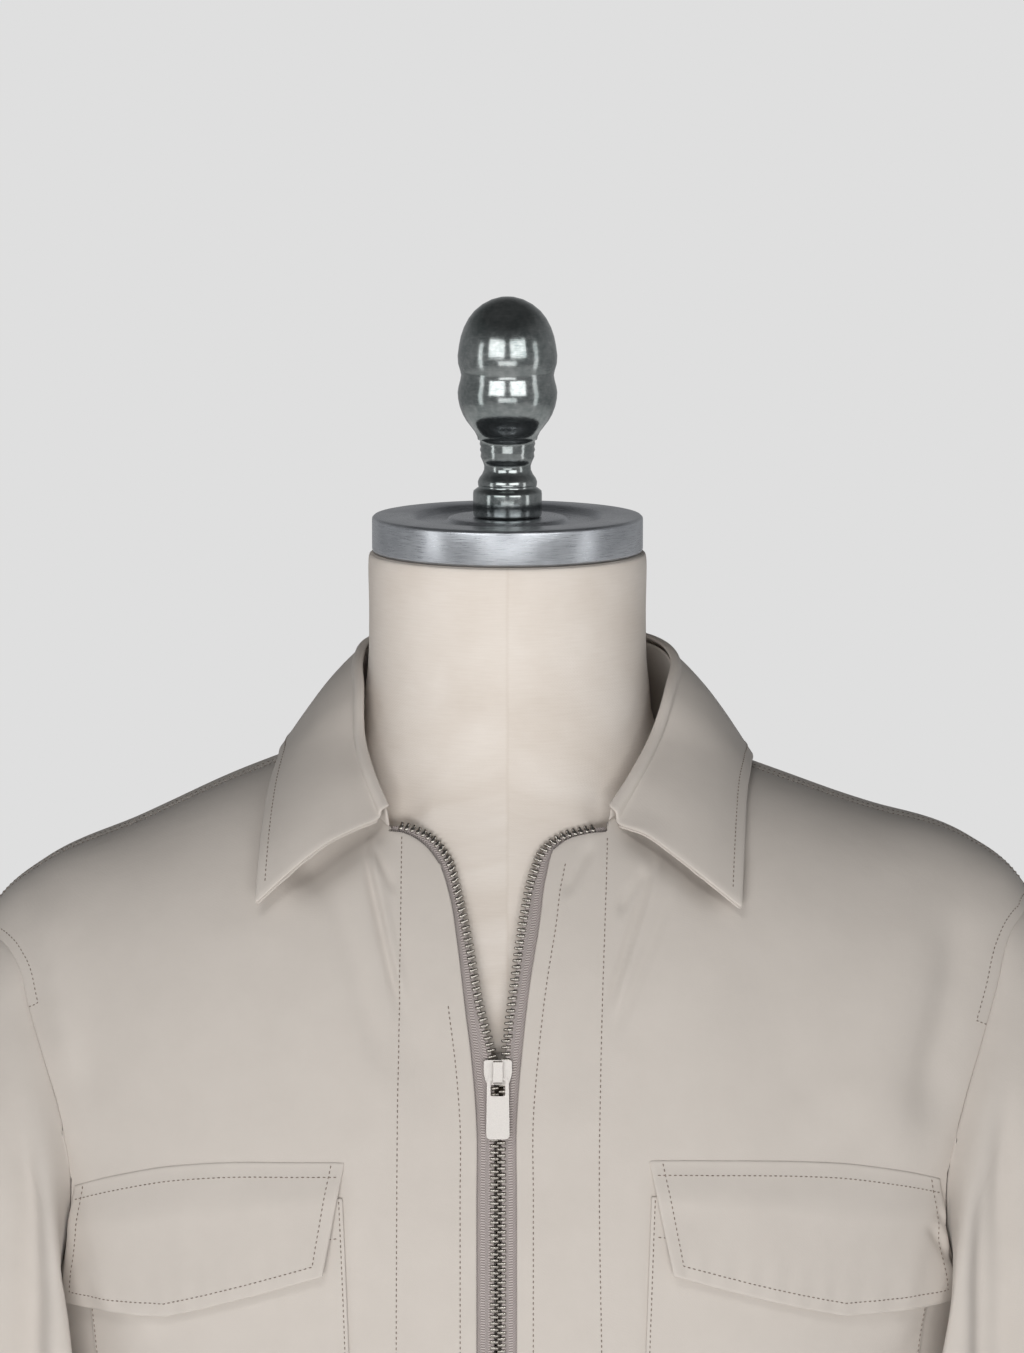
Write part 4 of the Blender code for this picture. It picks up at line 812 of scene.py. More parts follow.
@dataclass
class Sheet:
    """A grid of points, rows down and columns across, that a piece of cloth lies on."""

    points: Array
    closed: bool = False
    normals: Array = field(init=False)

    def __post_init__(self) -> None:
        """Work out the normals."""
        self.normals = grid_normals(self.points, self.closed)

    def raised(self, height: Array) -> Sheet:
        """Return the sheet moved out along its normals."""
        return Sheet(self.points + self.normals * height[..., None], self.closed)

    def chart(self) -> Array:
        """Work out flat coordinates in metres: running lengths along the rows and down the columns.

        Returns:
            The coordinates, by row and column.
        """
        points = np.concatenate([self.points, self.points[:, :1]], axis=1) if self.closed else self.points
        u, v = running(points, axis=1), running(points)
        return np.stack([u - u[:, [u.shape[1] // 2]], v], axis=-1)

    def at(self, rows: Array, columns: Array) -> Path:
        """Read the sheet between its points, by blending four neighbours.

        Args:
            rows: fractional rows.
            columns: fractional columns.

        Returns:
            The points and normals.
        """
        row = np.clip(rows, 0, self.points.shape[0] - 1.000001)
        step = np.clip(columns, 0, self.points.shape[1] - 1.000001)
        i, j = row.astype(int), step.astype(int)
        a, b = (row - i)[:, None], (step - j)[:, None]
        blended = [values[i, j] * (1 - a) * (1 - b) + values[i + 1, j] * a * (1 - b)
                   + values[i, j + 1] * (1 - a) * b + values[i + 1, j + 1] * a * b
                   for values in (self.points, self.normals)]
        return blended[0], unit(blended[1])

    def inset(self, edge: Edge, distance: float) -> Array:
        """Return fractional positions at a distance from one edge.

        Formula: along each line that leaves the edge, the place where the running length
        reaches the distance.

        Args:
            edge: the border that is followed.
            distance: how far inside it the path lies.

        Returns:
            For TOP and BOTTOM the row at every column, else the column at every row.
        """
        lines = self.points if edge in (Edge.TOP, Edge.BOTTOM) else self.points.transpose(1, 0, 2)
        flipped = edge in (Edge.BOTTOM, Edge.LAST)
        lines = lines[::-1] if flipped else lines
        steps = np.linalg.norm(np.diff(lines, axis=0), axis=-1)
        length = running(lines)
        low = np.clip((length <= distance).sum(axis=0) - 1, 0, len(steps) - 1)
        every = np.arange(steps.shape[1])
        share = (distance - length[low, every]) / np.maximum(steps[low, every], 1e-9)
        place = low + np.clip(share, 0.0, 1.0)
        return len(lines) - 1 - place if flipped else place

    def along(self, edge: Edge, distance: float, start: float = 0.0, end: float = 1.0) -> Path:
        """Follow one edge at an inset.

        Args:
            edge: the edge.
            distance: the inset.
            start: the share of the edge where it starts.
            end: the share where it ends.

        Returns:
            The points and normals.
        """
        place = self.inset(edge, distance)
        at = np.linspace(start, end, 4 * len(place)) * (len(place) - 1)
        other = np.interp(at, np.arange(len(place)), place)
        return self.at(other, at) if edge in (Edge.TOP, Edge.BOTTOM) else self.at(at, other)

    def round_three_sides(self, sides: float, bottom: float, top: float) -> Path:
        """Return a path down the first column, along the bottom and up the last column.

        Args:
            sides: inset from the first and last column.
            bottom: inset from the bottom row.
            top: distance from the top row at which the path starts and ends.

        Returns:
            Points and normals of the path.
        """
        rows, columns = self.points.shape[:2]
        low, first, last = (self.inset(edge, distance) for edge, distance in
                            ((Edge.BOTTOM, bottom), (Edge.FIRST, sides), (Edge.LAST, sides)))
        high = self.inset(Edge.TOP, top)
        turn_a = np.interp(low[0], np.arange(rows), first)
        turn_b = np.interp(low[-1], np.arange(rows), last)
        low_a, low_b = np.interp([turn_a, turn_b], np.arange(columns), low)
        high_a, high_b = np.interp([turn_a, turn_b], np.arange(columns), high)
        down = np.linspace(high_a, low_a, 4 * rows)
        across = np.linspace(turn_a, turn_b, 4 * columns)
        up = np.linspace(low_b, high_b, 4 * rows)
        place_rows = np.concatenate([down, np.interp(across, np.arange(columns), low), up])
        place_columns = np.concatenate([np.interp(down, np.arange(rows), first), across,
                                        np.interp(up, np.arange(rows), last)])
        return self.at(place_rows, place_columns)

    def drawn_in(self, distance: float) -> Array:
        """Return the points with every border moved inwards.

        Formula: along each line that leaves a border, a point moves inwards by the distance
        times one less its running length over six distances, and not at all past that.

        Args:
            distance: how far the border itself moves.

        Returns:
            The moved points.
        """
        moved = self.points.copy()
        for axis in (0,) if self.closed else (0, 1):
            for turn in (1, -1):
                lines = np.swapaxes(self.points, 0, axis)[::turn]
                share = np.clip(1.0 - running(lines) / (6.0 * distance), 0.0, 1.0)
                shift = unit(lines[1:2] - lines[:1]) * (distance * share)[..., None]
                moved += np.swapaxes(shift[::turn], 0, axis)
        return moved

    def shell(self, name: str, wall: float) -> bpy.types.Object:
        """Make a closed wall of cloth whose borders are rolled.

        Formula: the outer layer is the grid, the inner one the grid less the wall along the
        normals, and between their borders run three more rows on a half circle. The border
        lies half a wall inside the grid's own, so that the roll ends on it.

        Args:
            name: the piece's name.
            wall: the wall's thickness.

        Returns:
            The object.
        """
        rows, columns = self.points.shape[:2]
        away = leaving(self.points, self.closed)
        outer = self.drawn_in(wall / 2.0)
        inner = outer - self.normals * wall
        chart = self.chart()
        width = chart.shape[1]
        count = rows * columns
        faces = quads_of(rows, columns, self.closed)
        flat_faces = quads_of(rows, width, False)
        frm, to, flat_frm, flat_to = border_of(rows, columns, self.closed)
        ring = np.unique(frm)
        slot_of = np.zeros(count, int)
        slot_of[ring] = np.arange(len(ring))
        centre = (outer + inner).reshape(-1, 3)[ring] / 2.0
        normal, out = self.normals.reshape(-1, 3)[ring], away.reshape(-1, 3)[ring]
        turns = np.radians([45.0, 90.0, 135.0])
        rim = [centre + (normal * math.cos(turn) + out * math.sin(turn)) * wall / 2.0 for turn in turns]
        vertices = np.concatenate([outer.reshape(-1, 3), inner.reshape(-1, 3), *rim])
        flat = chart.reshape(-1, 2)
        flat_away = leaving(chart, self.closed).reshape(-1, 2)
        strips = [(frm, to), *((2 * count + k * len(ring) + slot_of[frm], 2 * count + k * len(ring) + slot_of[to])
                               for k in range(len(turns))), (count + frm, count + to)]
        all_faces = [faces, count + faces[:, ::-1]]
        charts = [flat[flat_faces], flat[flat_faces[:, ::-1]]]
        for k, ((a, b), (c, d)) in enumerate(zip(strips, strips[1:])):
            all_faces.append(np.stack([a, b, d, c], axis=-1))
            near, far = k * wall * 0.4, (k + 1) * wall * 0.4
            charts.append(np.stack([flat[flat_frm] + flat_away[flat_frm] * near,
                                    flat[flat_to] + flat_away[flat_to] * near,
                                    flat[flat_to] + flat_away[flat_to] * far,
                                    flat[flat_frm] + flat_away[flat_frm] * far], axis=1))
        return make_mesh(name, vertices + [0.0, 0.0, NECK_TOP], np.concatenate(all_faces), np.concatenate(charts))


def front_layer(points: Array, side: Side) -> Sheet:
    """Return a sheet of the front: half a seam gap before the seam's plane, facing out on both sides."""
    points[..., 1] -= SEAM_GAP / 2.0
    return Sheet(points if side is Side.LEFT else points[:, ::-1])


def border_of(rows: int, columns: int, closed: bool) -> tuple[Array, Array, Array, Array]:
    """List the border's edges.

    They run so that a strip added to them faces outwards: the top from the first column to
    the last, then down, back and up.

    Args:
        rows: rows.
        columns: columns.
        closed: whether the grid runs round a tube.

    Returns:
        Index pairs into the grid and its flat chart, two of each.
    """
    grid = np.arange(rows * columns).reshape(rows, columns)
    if closed:
        chart = np.arange(rows * (columns + 1)).reshape(rows, columns + 1)
        frm = np.concatenate([grid[0], np.roll(grid[-1], -1)])
        to = np.concatenate([np.roll(grid[0], -1), grid[-1]])
        return (frm, to, np.concatenate([chart[0, :-1], chart[-1, 1:]]),
                np.concatenate([chart[0, 1:], chart[-1, :-1]]))
    loop = np.concatenate([grid[0, :-1], grid[:-1, -1], grid[-1, :0:-1], grid[:0:-1, 0]])
    return loop, np.roll(loop, -1), loop, np.roll(loop, -1)


def read_along(at: Array, length: Array, values: Array) -> Array:
    """Return (x, y, z) values of a line at places along its running length."""
    return np.stack([np.interp(at, length, values[:, k]) for k in range(3)], axis=-1)


def capped(name: str, tubes: Array, cap: tuple[tuple[int, ...], ...], inward: bool) -> bpy.types.Object:
    """Make many alike tubes one mesh.

    Args:
        name: the piece's name.
        tubes: points, by tube, ring and side.
        cap: the faces that close the first ring, and turned over the last.
        inward: whether the rings run so that the walls need turning over.

    Returns:
        The object.
    """
    count, stations, sides = tubes.shape[:3]
    walls, ends = quads_of(stations, sides, True), np.array(cap)
    walls, first = (walls[:, ::-1], ends) if inward else (walls, ends[:, ::-1])
    one = np.concatenate([walls, first, (stations - 1) * sides + first[:, ::-1]])
    faces = (one[None] + (np.arange(count) * stations * sides)[:, None, None]).reshape(-1, 4)
    return make_mesh(name, tubes.reshape(-1, 3), faces)


def dress(thing: bpy.types.Object, material: bpy.types.Material, nodes: tuple[str, ...] = (),
          body: str = ROOT) -> bpy.types.Object:
    """Give a piece its material, hang it on the body that it rides on, and hide the frame's nodes that it stands
    for.

    Args:
        thing: the piece.
        material: its material.
        nodes: the frame's nodes that it replaces.
        body: the body that it rides on.

    Returns:
        The piece.
    """
    thing.data.materials.clear()
    thing.data.materials.append(material)
    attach(thing, body)
    if nodes:
        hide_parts(*nodes)
    LOG.info("%s: %d faces", thing.name, len(thing.data.polygons))
    return thing


# ---------------------------------------------------------------- sewing
@dataclass(frozen=True)
class Stitching:
    """Lines of thread, made as one piece."""

    pitch: float = 0.0023
    length: float = 0.0013
    radius: float = 0.00025
    stations: tuple[float, ...] = (-1.0, -0.8, 0.0, 0.8, 1.0)
    swell: tuple[float, ...] = (0.30, 0.85, 1.0, 0.85, 0.30)
    sides: int = 6

    def line(self, path: Path) -> Array:
        """Work out one line of stitches.

        Formula: stitch k is centred at (k + 1/2) pitches along the path. Its rings stand
        at the stations of its half length, with a radius that swells toward the middle,
        and its ends dip into the cloth by one radius.

        Args:
            path: points and normals of the cloth along the line.

        Returns:
            The points, by stitch, ring and side.
        """
        points, normals = path
        length = running(points)
        count = int(length[-1] / self.pitch)
        centres = (np.arange(count) + 0.5) * length[-1] / count
        station = np.array(self.stations)
        at = np.clip(centres[:, None] + station * self.length / 2.0, 0.0, length[-1])
        place, normal = read_along(at, length, points), unit(read_along(at, length, normals))
        across = unit(np.cross(unit(place[:, -1:] - place[:, :1]), normal))
        turn = np.arange(self.sides) * math.tau / self.sides
        size = self.radius * np.array(self.swell)[None, :, None, None]
        dip = (self.radius * (0.6 - 0.9 * station**2))[None, :, None]
        ring = (across[:, :, None, :] * np.cos(turn)[None, None, :, None]
                + normal[:, :, None, :] * np.sin(turn)[None, None, :, None])
        return (place + normal * dip)[:, :, None, :] + ring * size

    def build(self, name: str, material: bpy.types.Material, *paths: Path) -> None:
        """Make lines of stitches one piece of capped little tubes.

        Args:
            name: the piece's name.
            material: the thread.
            paths: points and normals of the cloth along each line.
        """
        tubes = np.concatenate([self.line(path) for path in paths]) + [0.0, 0.0, NECK_TOP]
        dress(capped(name, tubes, ((0, 1, 2, 3), (0, 3, 4, 5)), True), material)


# ---------------------------------------------------------------- finishes
def linear(hex_color: str) -> tuple[float, float, float, float]:
    """Turn a hex colour into the values that Blender takes.

    Args:
        hex_color: an sRGB colour.

    Returns:
        Linear red, green, blue and alpha.
    """
    channels = np.array([int(hex_color[i:i + 2], 16) / 255.0 for i in (1, 3, 5)])
    values = np.where(channels <= 0.04045, channels / 12.92, ((channels + 0.055) / 1.055) ** 2.4)
    return (*values.tolist(), 1.0)


def fill(node: bpy.types.Node, inputs: dict[int | str, Any]) -> None:
    """Set or link inputs of a node.

    Args:
        node: the node.
        inputs: by number, or by name with _ for a space: a value, or the socket that feeds it.
    """
    for name, value in inputs.items():
        socket = node.inputs[name if isinstance(name, int) else name.replace("_", " ")]
        if isinstance(value, bpy.types.NodeSocket):
            node.id_data.links.new(value, socket)
        else:
            socket.default_value = value


def add(tree: bpy.types.NodeTree, kind: str, *values: Any, out: int | str = 0,
        **named: Any) -> bpy.types.NodeSocket:
    """Add a node with its settings and links.

    Args:
        tree: the node tree.
        kind: the node's type name, without ShaderNode.
        values: a value, or the socket that feeds it, for each input in turn.
        out: the output to return.
        named: settings in lower case and inputs with a capital; stops gives the places and
            hex colours of a colour ramp.

    Returns:
        The output; its node holds the others.
    """
    node = tree.nodes.new(f"ShaderNode{kind}")
    for k, (place, color) in enumerate(named.pop("stops", ())):
        stop = node.color_ramp.elements[k]
        stop.position, stop.color = place, linear(color)
    for name, value in named.items():
        if name[0].islower():
            setattr(node, name, value)
    fill(node, dict(enumerate(values)) | {name: value for name, value in named.items() if name[0].isupper()})
    return node.outputs[out]


def blank(name: str, **shader: Any) -> tuple[bpy.types.Material, bpy.types.NodeTree, bpy.types.Node]:
    """Start a material.

    Args:
        name: its name.
        shader: inputs of its Principled shader.

    Returns:
        The material, its tree and the shader.
    """
    material = bpy.data.materials.new(name)
    material.use_nodes = True
    principled = material.node_tree.nodes["Principled BSDF"]
    fill(principled, shader)
    return material, material.node_tree, principled


def weave(tree: bpy.types.NodeTree, flat: bpy.types.NodeSocket, thread: float) -> bpy.types.NodeSocket:
    """Draw a plain weave: sin(u) times sin(v), with u and v half a turn for each thread.

    Args:
        tree: the node tree.
        flat: the flat chart.
        thread: the threads' width.

    Returns:
        Its height, from -1 to 1.
    """
    axes = add(tree, "SeparateXYZ", flat).node.outputs
    turns = math.tau / (2.0 * thread)
    waves = [add(tree, "Math", add(tree, "Math", axes[axis], turns, operation="MULTIPLY"), operation="SINE")
             for axis in ("X", "Y")]
    return add(tree, "Math", *waves, operation="MULTIPLY")


@dataclass(frozen=True)
class Poplin:
    """Close-woven cotton and nylon poplin, calendered smooth: a matt skin with a faint grain.

    The threads lie 0.25 mm apart, too fine for the picture, so they are drawn 0.6 mm apart.
    """

    name: str
    light: str = "#C8C0B8"
    dark: str = "#C4BCB4"
    thread: float = 0.0006
    depth: float = 0.00003
    roughness: float = 0.82

    def build(self) -> bpy.types.Material:
        """Make the material: a plain weave under a noise that stands for the soft handle.

        Returns:
            The material.
        """
        material, tree, shader = blank(self.name, Roughness=self.roughness, Sheen_Weight=0.12,
                                       Sheen_Roughness=0.5, IOR=1.45, Specular_IOR_Level=0.35)
        flat = add(tree, "UVMap", uv_map="flat")
        place = add(tree, "TexCoord", out="Object")
        threads = weave(tree, flat, self.thread)
        slub = add(tree, "TexNoise", place, Scale=1300.0, Detail=2.0)
        height = add(tree, "Math", threads, 0.15, slub, operation="MULTIPLY_ADD")
        fine = add(tree, "Bump", Height=height, Distance=self.depth, Strength=1.0)
        handle = add(tree, "TexNoise", place, Scale=95.0, Detail=3.0, Roughness=0.45)
        soft = add(tree, "Bump", Height=handle, Distance=0.0004, Strength=0.5, Normal=fine)
        mottle = add(tree, "TexNoise", place, Scale=38.0, Detail=5.0, Roughness=0.6)
        tone = add(tree, "ValToRGB", mottle, stops=((0.30, self.dark), (0.70, self.light)))
        fill(shader, {"Base Color": tone, "Normal": soft})
        return material


@dataclass(frozen=True)
class HerringboneTape:
    """Woven polyester zip tape: a herringbone twill that turns every 3 mm.

    The twill's real ribs are 0.5 mm apart; they are drawn 1.1 mm apart.
    """

    name: str
    rib: str = "#C0B6B2"
    painted_groove_shade: str = "#837976"
    # painted shade: the colour of the twill's grooves
    turn: float = 0.0034
    spacing: float = 0.0011

    def build(self) -> bpy.types.Material:
        """Make the material; the rib is the sine of v plus a zigzag of u. Its colour runs from painted shade in the
        grooves to the plain tone of the ribs.

        Returns:
            The material.
        """
        material, tree, shader = blank(self.name, Roughness=0.85, Sheen_Weight=0.15, Sheen_Roughness=0.45)
        flat = add(tree, "UVMap", uv_map="flat")
        axes = add(tree, "SeparateXYZ", flat).node.outputs
        zigzag = add(tree, "Math", axes["X"], self.turn / 2.0, operation="PINGPONG")
        run = add(tree, "Math", axes["Y"], zigzag, operation="ADD")
        angle = add(tree, "Math", run, math.tau / self.spacing, operation="MULTIPLY")
        wave = add(tree, "Math", angle, operation="SINE")
        share = add(tree, "MapRange", wave, From_Min=-1.0, From_Max=1.0)
        fuzz = add(tree, "TexNoise", flat, Scale=2500.0)
        rib = add(tree, "Mix", Factor=0.3, A=share, B=fuzz, data_type="FLOAT")
        # The twill is coloured by its own rib height: the grooves are painted darker, as painted shade, over the
        # same bump.
        fill(shader, {"Base Color": add(tree, "ValToRGB", rib, stops=((0.25, self.painted_groove_shade), (0.75, self.rib))),
                      "Normal": add(tree, "Bump", Height=rib, Distance=0.00022, Strength=1.0)})
        return material


@dataclass(frozen=True)
class LinenCover:
    """Unbleached linen, stretched and pasted over the form: a plain weave with slubs.

    Its threads lie 0.6 mm apart and are drawn 0.8 mm apart.
    """

    name: str
    light: str = "#E3DAD1"
    dark: str = "#D7CCC1"
    thread: float = 0.0008

    def build(self) -> bpy.types.Material:
        """Make the material: a plain weave, long noise along each thread, and a dark seam at the middle.

        Returns:
            The material.
        """
        material, tree, shader = blank(self.name, Roughness=0.88, Sheen_Weight=0.10, Sheen_Roughness=0.6,
                                       Specular_IOR_Level=0.3)
        flat = add(tree, "UVMap", uv_map="flat")
        threads = weave(tree, flat, self.thread)
        slubs = [add(tree, "TexNoise", add(tree, "Mapping", flat, Scale=scale), Scale=1.0, Detail=2.0)
                 for scale in ((1300.0, 90.0, 1.0), (90.0, 1300.0, 1.0))]
        height = add(tree, "Math", threads, 0.35, add(tree, "Math", *slubs, operation="ADD"),
                     operation="MULTIPLY_ADD")
        bump = add(tree, "Bump", Height=height, Distance=0.00004, Strength=1.0)
        stain = add(tree, "TexNoise", flat, Scale=22.0, Detail=5.0)
        mixed = add(tree, "Mix", Factor=0.2, A=stain, B=slubs[1], data_type="FLOAT")
        place = add(tree, "TexCoord", out="Object")
        middle = add(tree, "Math", add(tree, "SeparateXYZ", place), operation="ABSOLUTE")
        seam = add(tree, "MapRange", middle, From_Min=0.0003, From_Max=0.0010, To_Min=-0.10, To_Max=0.0)
        tone = add(tree, "Math", mixed, seam, operation="ADD")
        color = add(tree, "ValToRGB", tone, stops=((0.35, self.dark), (0.65, self.light)))
        fill(shader, {"Base Color": color, "Normal": bump})
        return material


@dataclass(frozen=True)
class TurnedMetal:
    """Metal finished on a lathe: fine lines run round its axis.

    Brushed aluminium has lines 0.3 mm apart; on cast iron they are faint and the skin is
    darker, with a slight green-grey bloom.
    """

    name: str
    light: str
    dark: str
    roughness: float
    line_depth: float
    grain: float = 0.0
    spacing: float = 0.0003

    def build(self) -> bpy.types.Material:
        """Make the material; the lines are noise of (radius, height), nearly constant in the angle.

        Returns:
            The material.
        """
        material, tree, shader = blank(self.name, Metallic=1.0, Roughness=self.roughness)
        place = add(tree, "TexCoord", out="Object")
        axes = add(tree, "SeparateXYZ", place).node.outputs
        squares = [add(tree, "Math", axes[axis], 2.0, operation="POWER") for axis in ("X", "Y")]
        radius = add(tree, "Math", add(tree, "Math", *squares, operation="ADD"), operation="SQRT")
        angle = add(tree, "Math", axes["Y"], axes["X"], operation="ARCTAN2")
        rings = add(tree, "CombineXYZ", *(
            add(tree, "Math", run, often, operation="MULTIPLY")
            for run, often in ((radius, 1.0 / self.spacing), (angle, 6.0), (axes["Z"], 1.0 / self.spacing))))
        lines = add(tree, "TexNoise", rings, Scale=1.0, Detail=3.0)
        pits = add(tree, "TexNoise", place, Scale=420.0, Detail=4.0)
        skin = add(tree, "Mix", Factor=self.grain, A=lines, B=pits, data_type="FLOAT")
        bump = add(tree, "Bump", Height=skin, Distance=self.line_depth, Strength=1.0)
        bloom = add(tree, "TexNoise", place, Scale=60.0, Detail=4.0)
        tone = add(tree, "Mix", Factor=0.5, A=bloom, B=skin, data_type="FLOAT")
        fill(shader, {
            "Base Color": add(tree, "ValToRGB", tone, stops=((0.35, self.dark), (0.65, self.light))),
            "Roughness": add(tree, "MapRange", skin, From_Min=0.3, From_Max=0.7,
                             To_Min=self.roughness * 0.8, To_Max=self.roughness * 1.25),
            "Normal": bump})
        return material


@dataclass(frozen=True)
class PlatedZinc:
    """Die-cast zinc with satin nickel plate: an even, bright skin with very fine scuffs."""

    name: str
    light: str = "#D0CBC6"
    dark: str = "#C6C1BC"
    roughness: float = 0.38

    def build(self) -> bpy.types.Material:
        """Make the material; scuffs 0.4 mm apart vary its tone and, a little, its roughness.

        Returns:
            The material.
        """
        material, tree, shader = blank(self.name, Metallic=1.0, Roughness=self.roughness)
        place = add(tree, "TexCoord", out="Object")
        scuff = add(tree, "TexNoise", place, Scale=2500.0, Detail=2.0)
        fill(shader, {
            "Base Color": add(tree, "ValToRGB", scuff, stops=((0.3, self.dark), (0.7, self.light))),
            "Roughness": add(tree, "MapRange", scuff, From_Min=0.3, From_Max=0.7,
                             To_Min=self.roughness * 0.94, To_Max=self.roughness * 1.06)})
        return material


@dataclass(frozen=True)
class SewingThread:
    """Spun polyester thread, a shade darker than the cloth, with a soft dull twist."""

    name: str
    light: str = "#8D8075"
    dark: str = "#72665C"

    def build(self) -> bpy.types.Material:
        """Make the material; its twist is a fine noise.

        Returns:
            The material.
        """
        material, tree, shader = blank(self.name, Roughness=0.75, Sheen_Weight=0.2, Sheen_Roughness=0.4)
        twist = add(tree, "TexNoise", add(tree, "TexCoord", out="Object"), Scale=1800.0)
        fill(shader, {"Base Color": add(tree, "ValToRGB", twist, stops=((0.35, self.dark), (0.65, self.light))),
                      "Normal": add(tree, "Bump", Height=twist, Distance=0.00005, Strength=0.8)})
        return material


@dataclass
class Wardrobe:
    """Every material of the object."""

    cloth: bpy.types.Material
    tape: bpy.types.Material
    thread: bpy.types.Material
    linen: bpy.types.Material
    aluminium: bpy.types.Material
    iron: bpy.types.Material
    plate: bpy.types.Material
    tooth: bpy.types.Material

    @classmethod
    def make(cls) -> Wardrobe:
        """Build every material.

        Returns:
            The wardrobe.
        """
        return cls(
            cloth=Poplin("calendered_poplin").build(),
            tape=HerringboneTape("herringbone_tape").build(),
            thread=SewingThread("spun_polyester_thread").build(),
            linen=LinenCover("pasted_linen").build(),
            aluminium=TurnedMetal("brushed_aluminium", "#CDD0D4", "#A9ACB1", roughness=0.30,
                                  line_depth=0.00004).build(),
            iron=TurnedMetal("cast_iron_polished", "#A8ABAA", "#727A79", roughness=0.15,
                             line_depth=0.00003, grain=0.6, spacing=0.0006).build(),
            plate=PlatedZinc("nickel_plated_zinc").build(),
            tooth=PlatedZinc("nickel_plated_teeth", "#C6C1B9", "#857E76", roughness=0.20).build(),
        )


# ---------------------------------------------------------------- the zip's lines
@dataclass(frozen=True)
class ZipLine:
    """The folded edge and the row of teeth of one side of the zip."""

    side: Side
    stations: Table
    surface: BodySurface
    row_search: int = 600       # places that are tried along the edge, for the rows and for lines
    line_search: int = 1600

    def knots(self) -> Array:
        """Return the running length of the folded edge at each station."""
        return running(np.stack([self.stations["edge_x"], self.stations["edge_drop"]], axis=-1))

    def curve(self, places: Array, which: str) -> Array:
        """Read one of the zip's lines.

        Args:
            places: places along the folded edge.
            which: the edge or the teeth.

        Returns:
            (x, drop) points.
        """
        knots = self.knots()
        return np.stack([smooth_line(knots, self.stations[f"{which}_x"], places),
                         smooth_line(knots, self.stations[f"{which}_drop"], places)], axis=-1)

    def rows(self) -> Array:
        """Place the panel's rows, from the curl down to the hem.

        Returns:
            Their places along the edge.
        """
        knots = self.knots()
        levels = self.surface.row_levels()[YOKE_ROWS:]
        drops = self.surface.drop_at(np.array(abs(self.stations["edge_x"][-1])), levels)
        places = np.linspace(knots[CURL_STATION], knots[-1], self.row_search)
        lower = np.interp(drops, self.curve(places, "edge")[:, 1], places)
        upper = np.linspace(knots[CURL_STATION], lower[0], YOKE_ROWS + 1)
        return np.concatenate([upper[:-1], lower])

    def beside(self, distance: float, start: float, end: float) -> Array:
        """Follow the folded edge at a distance outside it.

        Args:
            distance: the distance.
            start: the drop where it starts.
            end: the drop where it ends.

        Returns:
            (x, drop) points.
        """
        places = np.linspace(0.0, self.knots()[-1], self.line_search)
        edge = self.curve(places, "edge")
        run = unit(np.gradient(edge, axis=0))
        away = np.stack([run[:, 1], -run[:, 0]], axis=-1) * self.side.value
        line = edge + away * distance
        keep = (line[:, 1] > start) & (line[:, 1] < end)
        return line[keep]


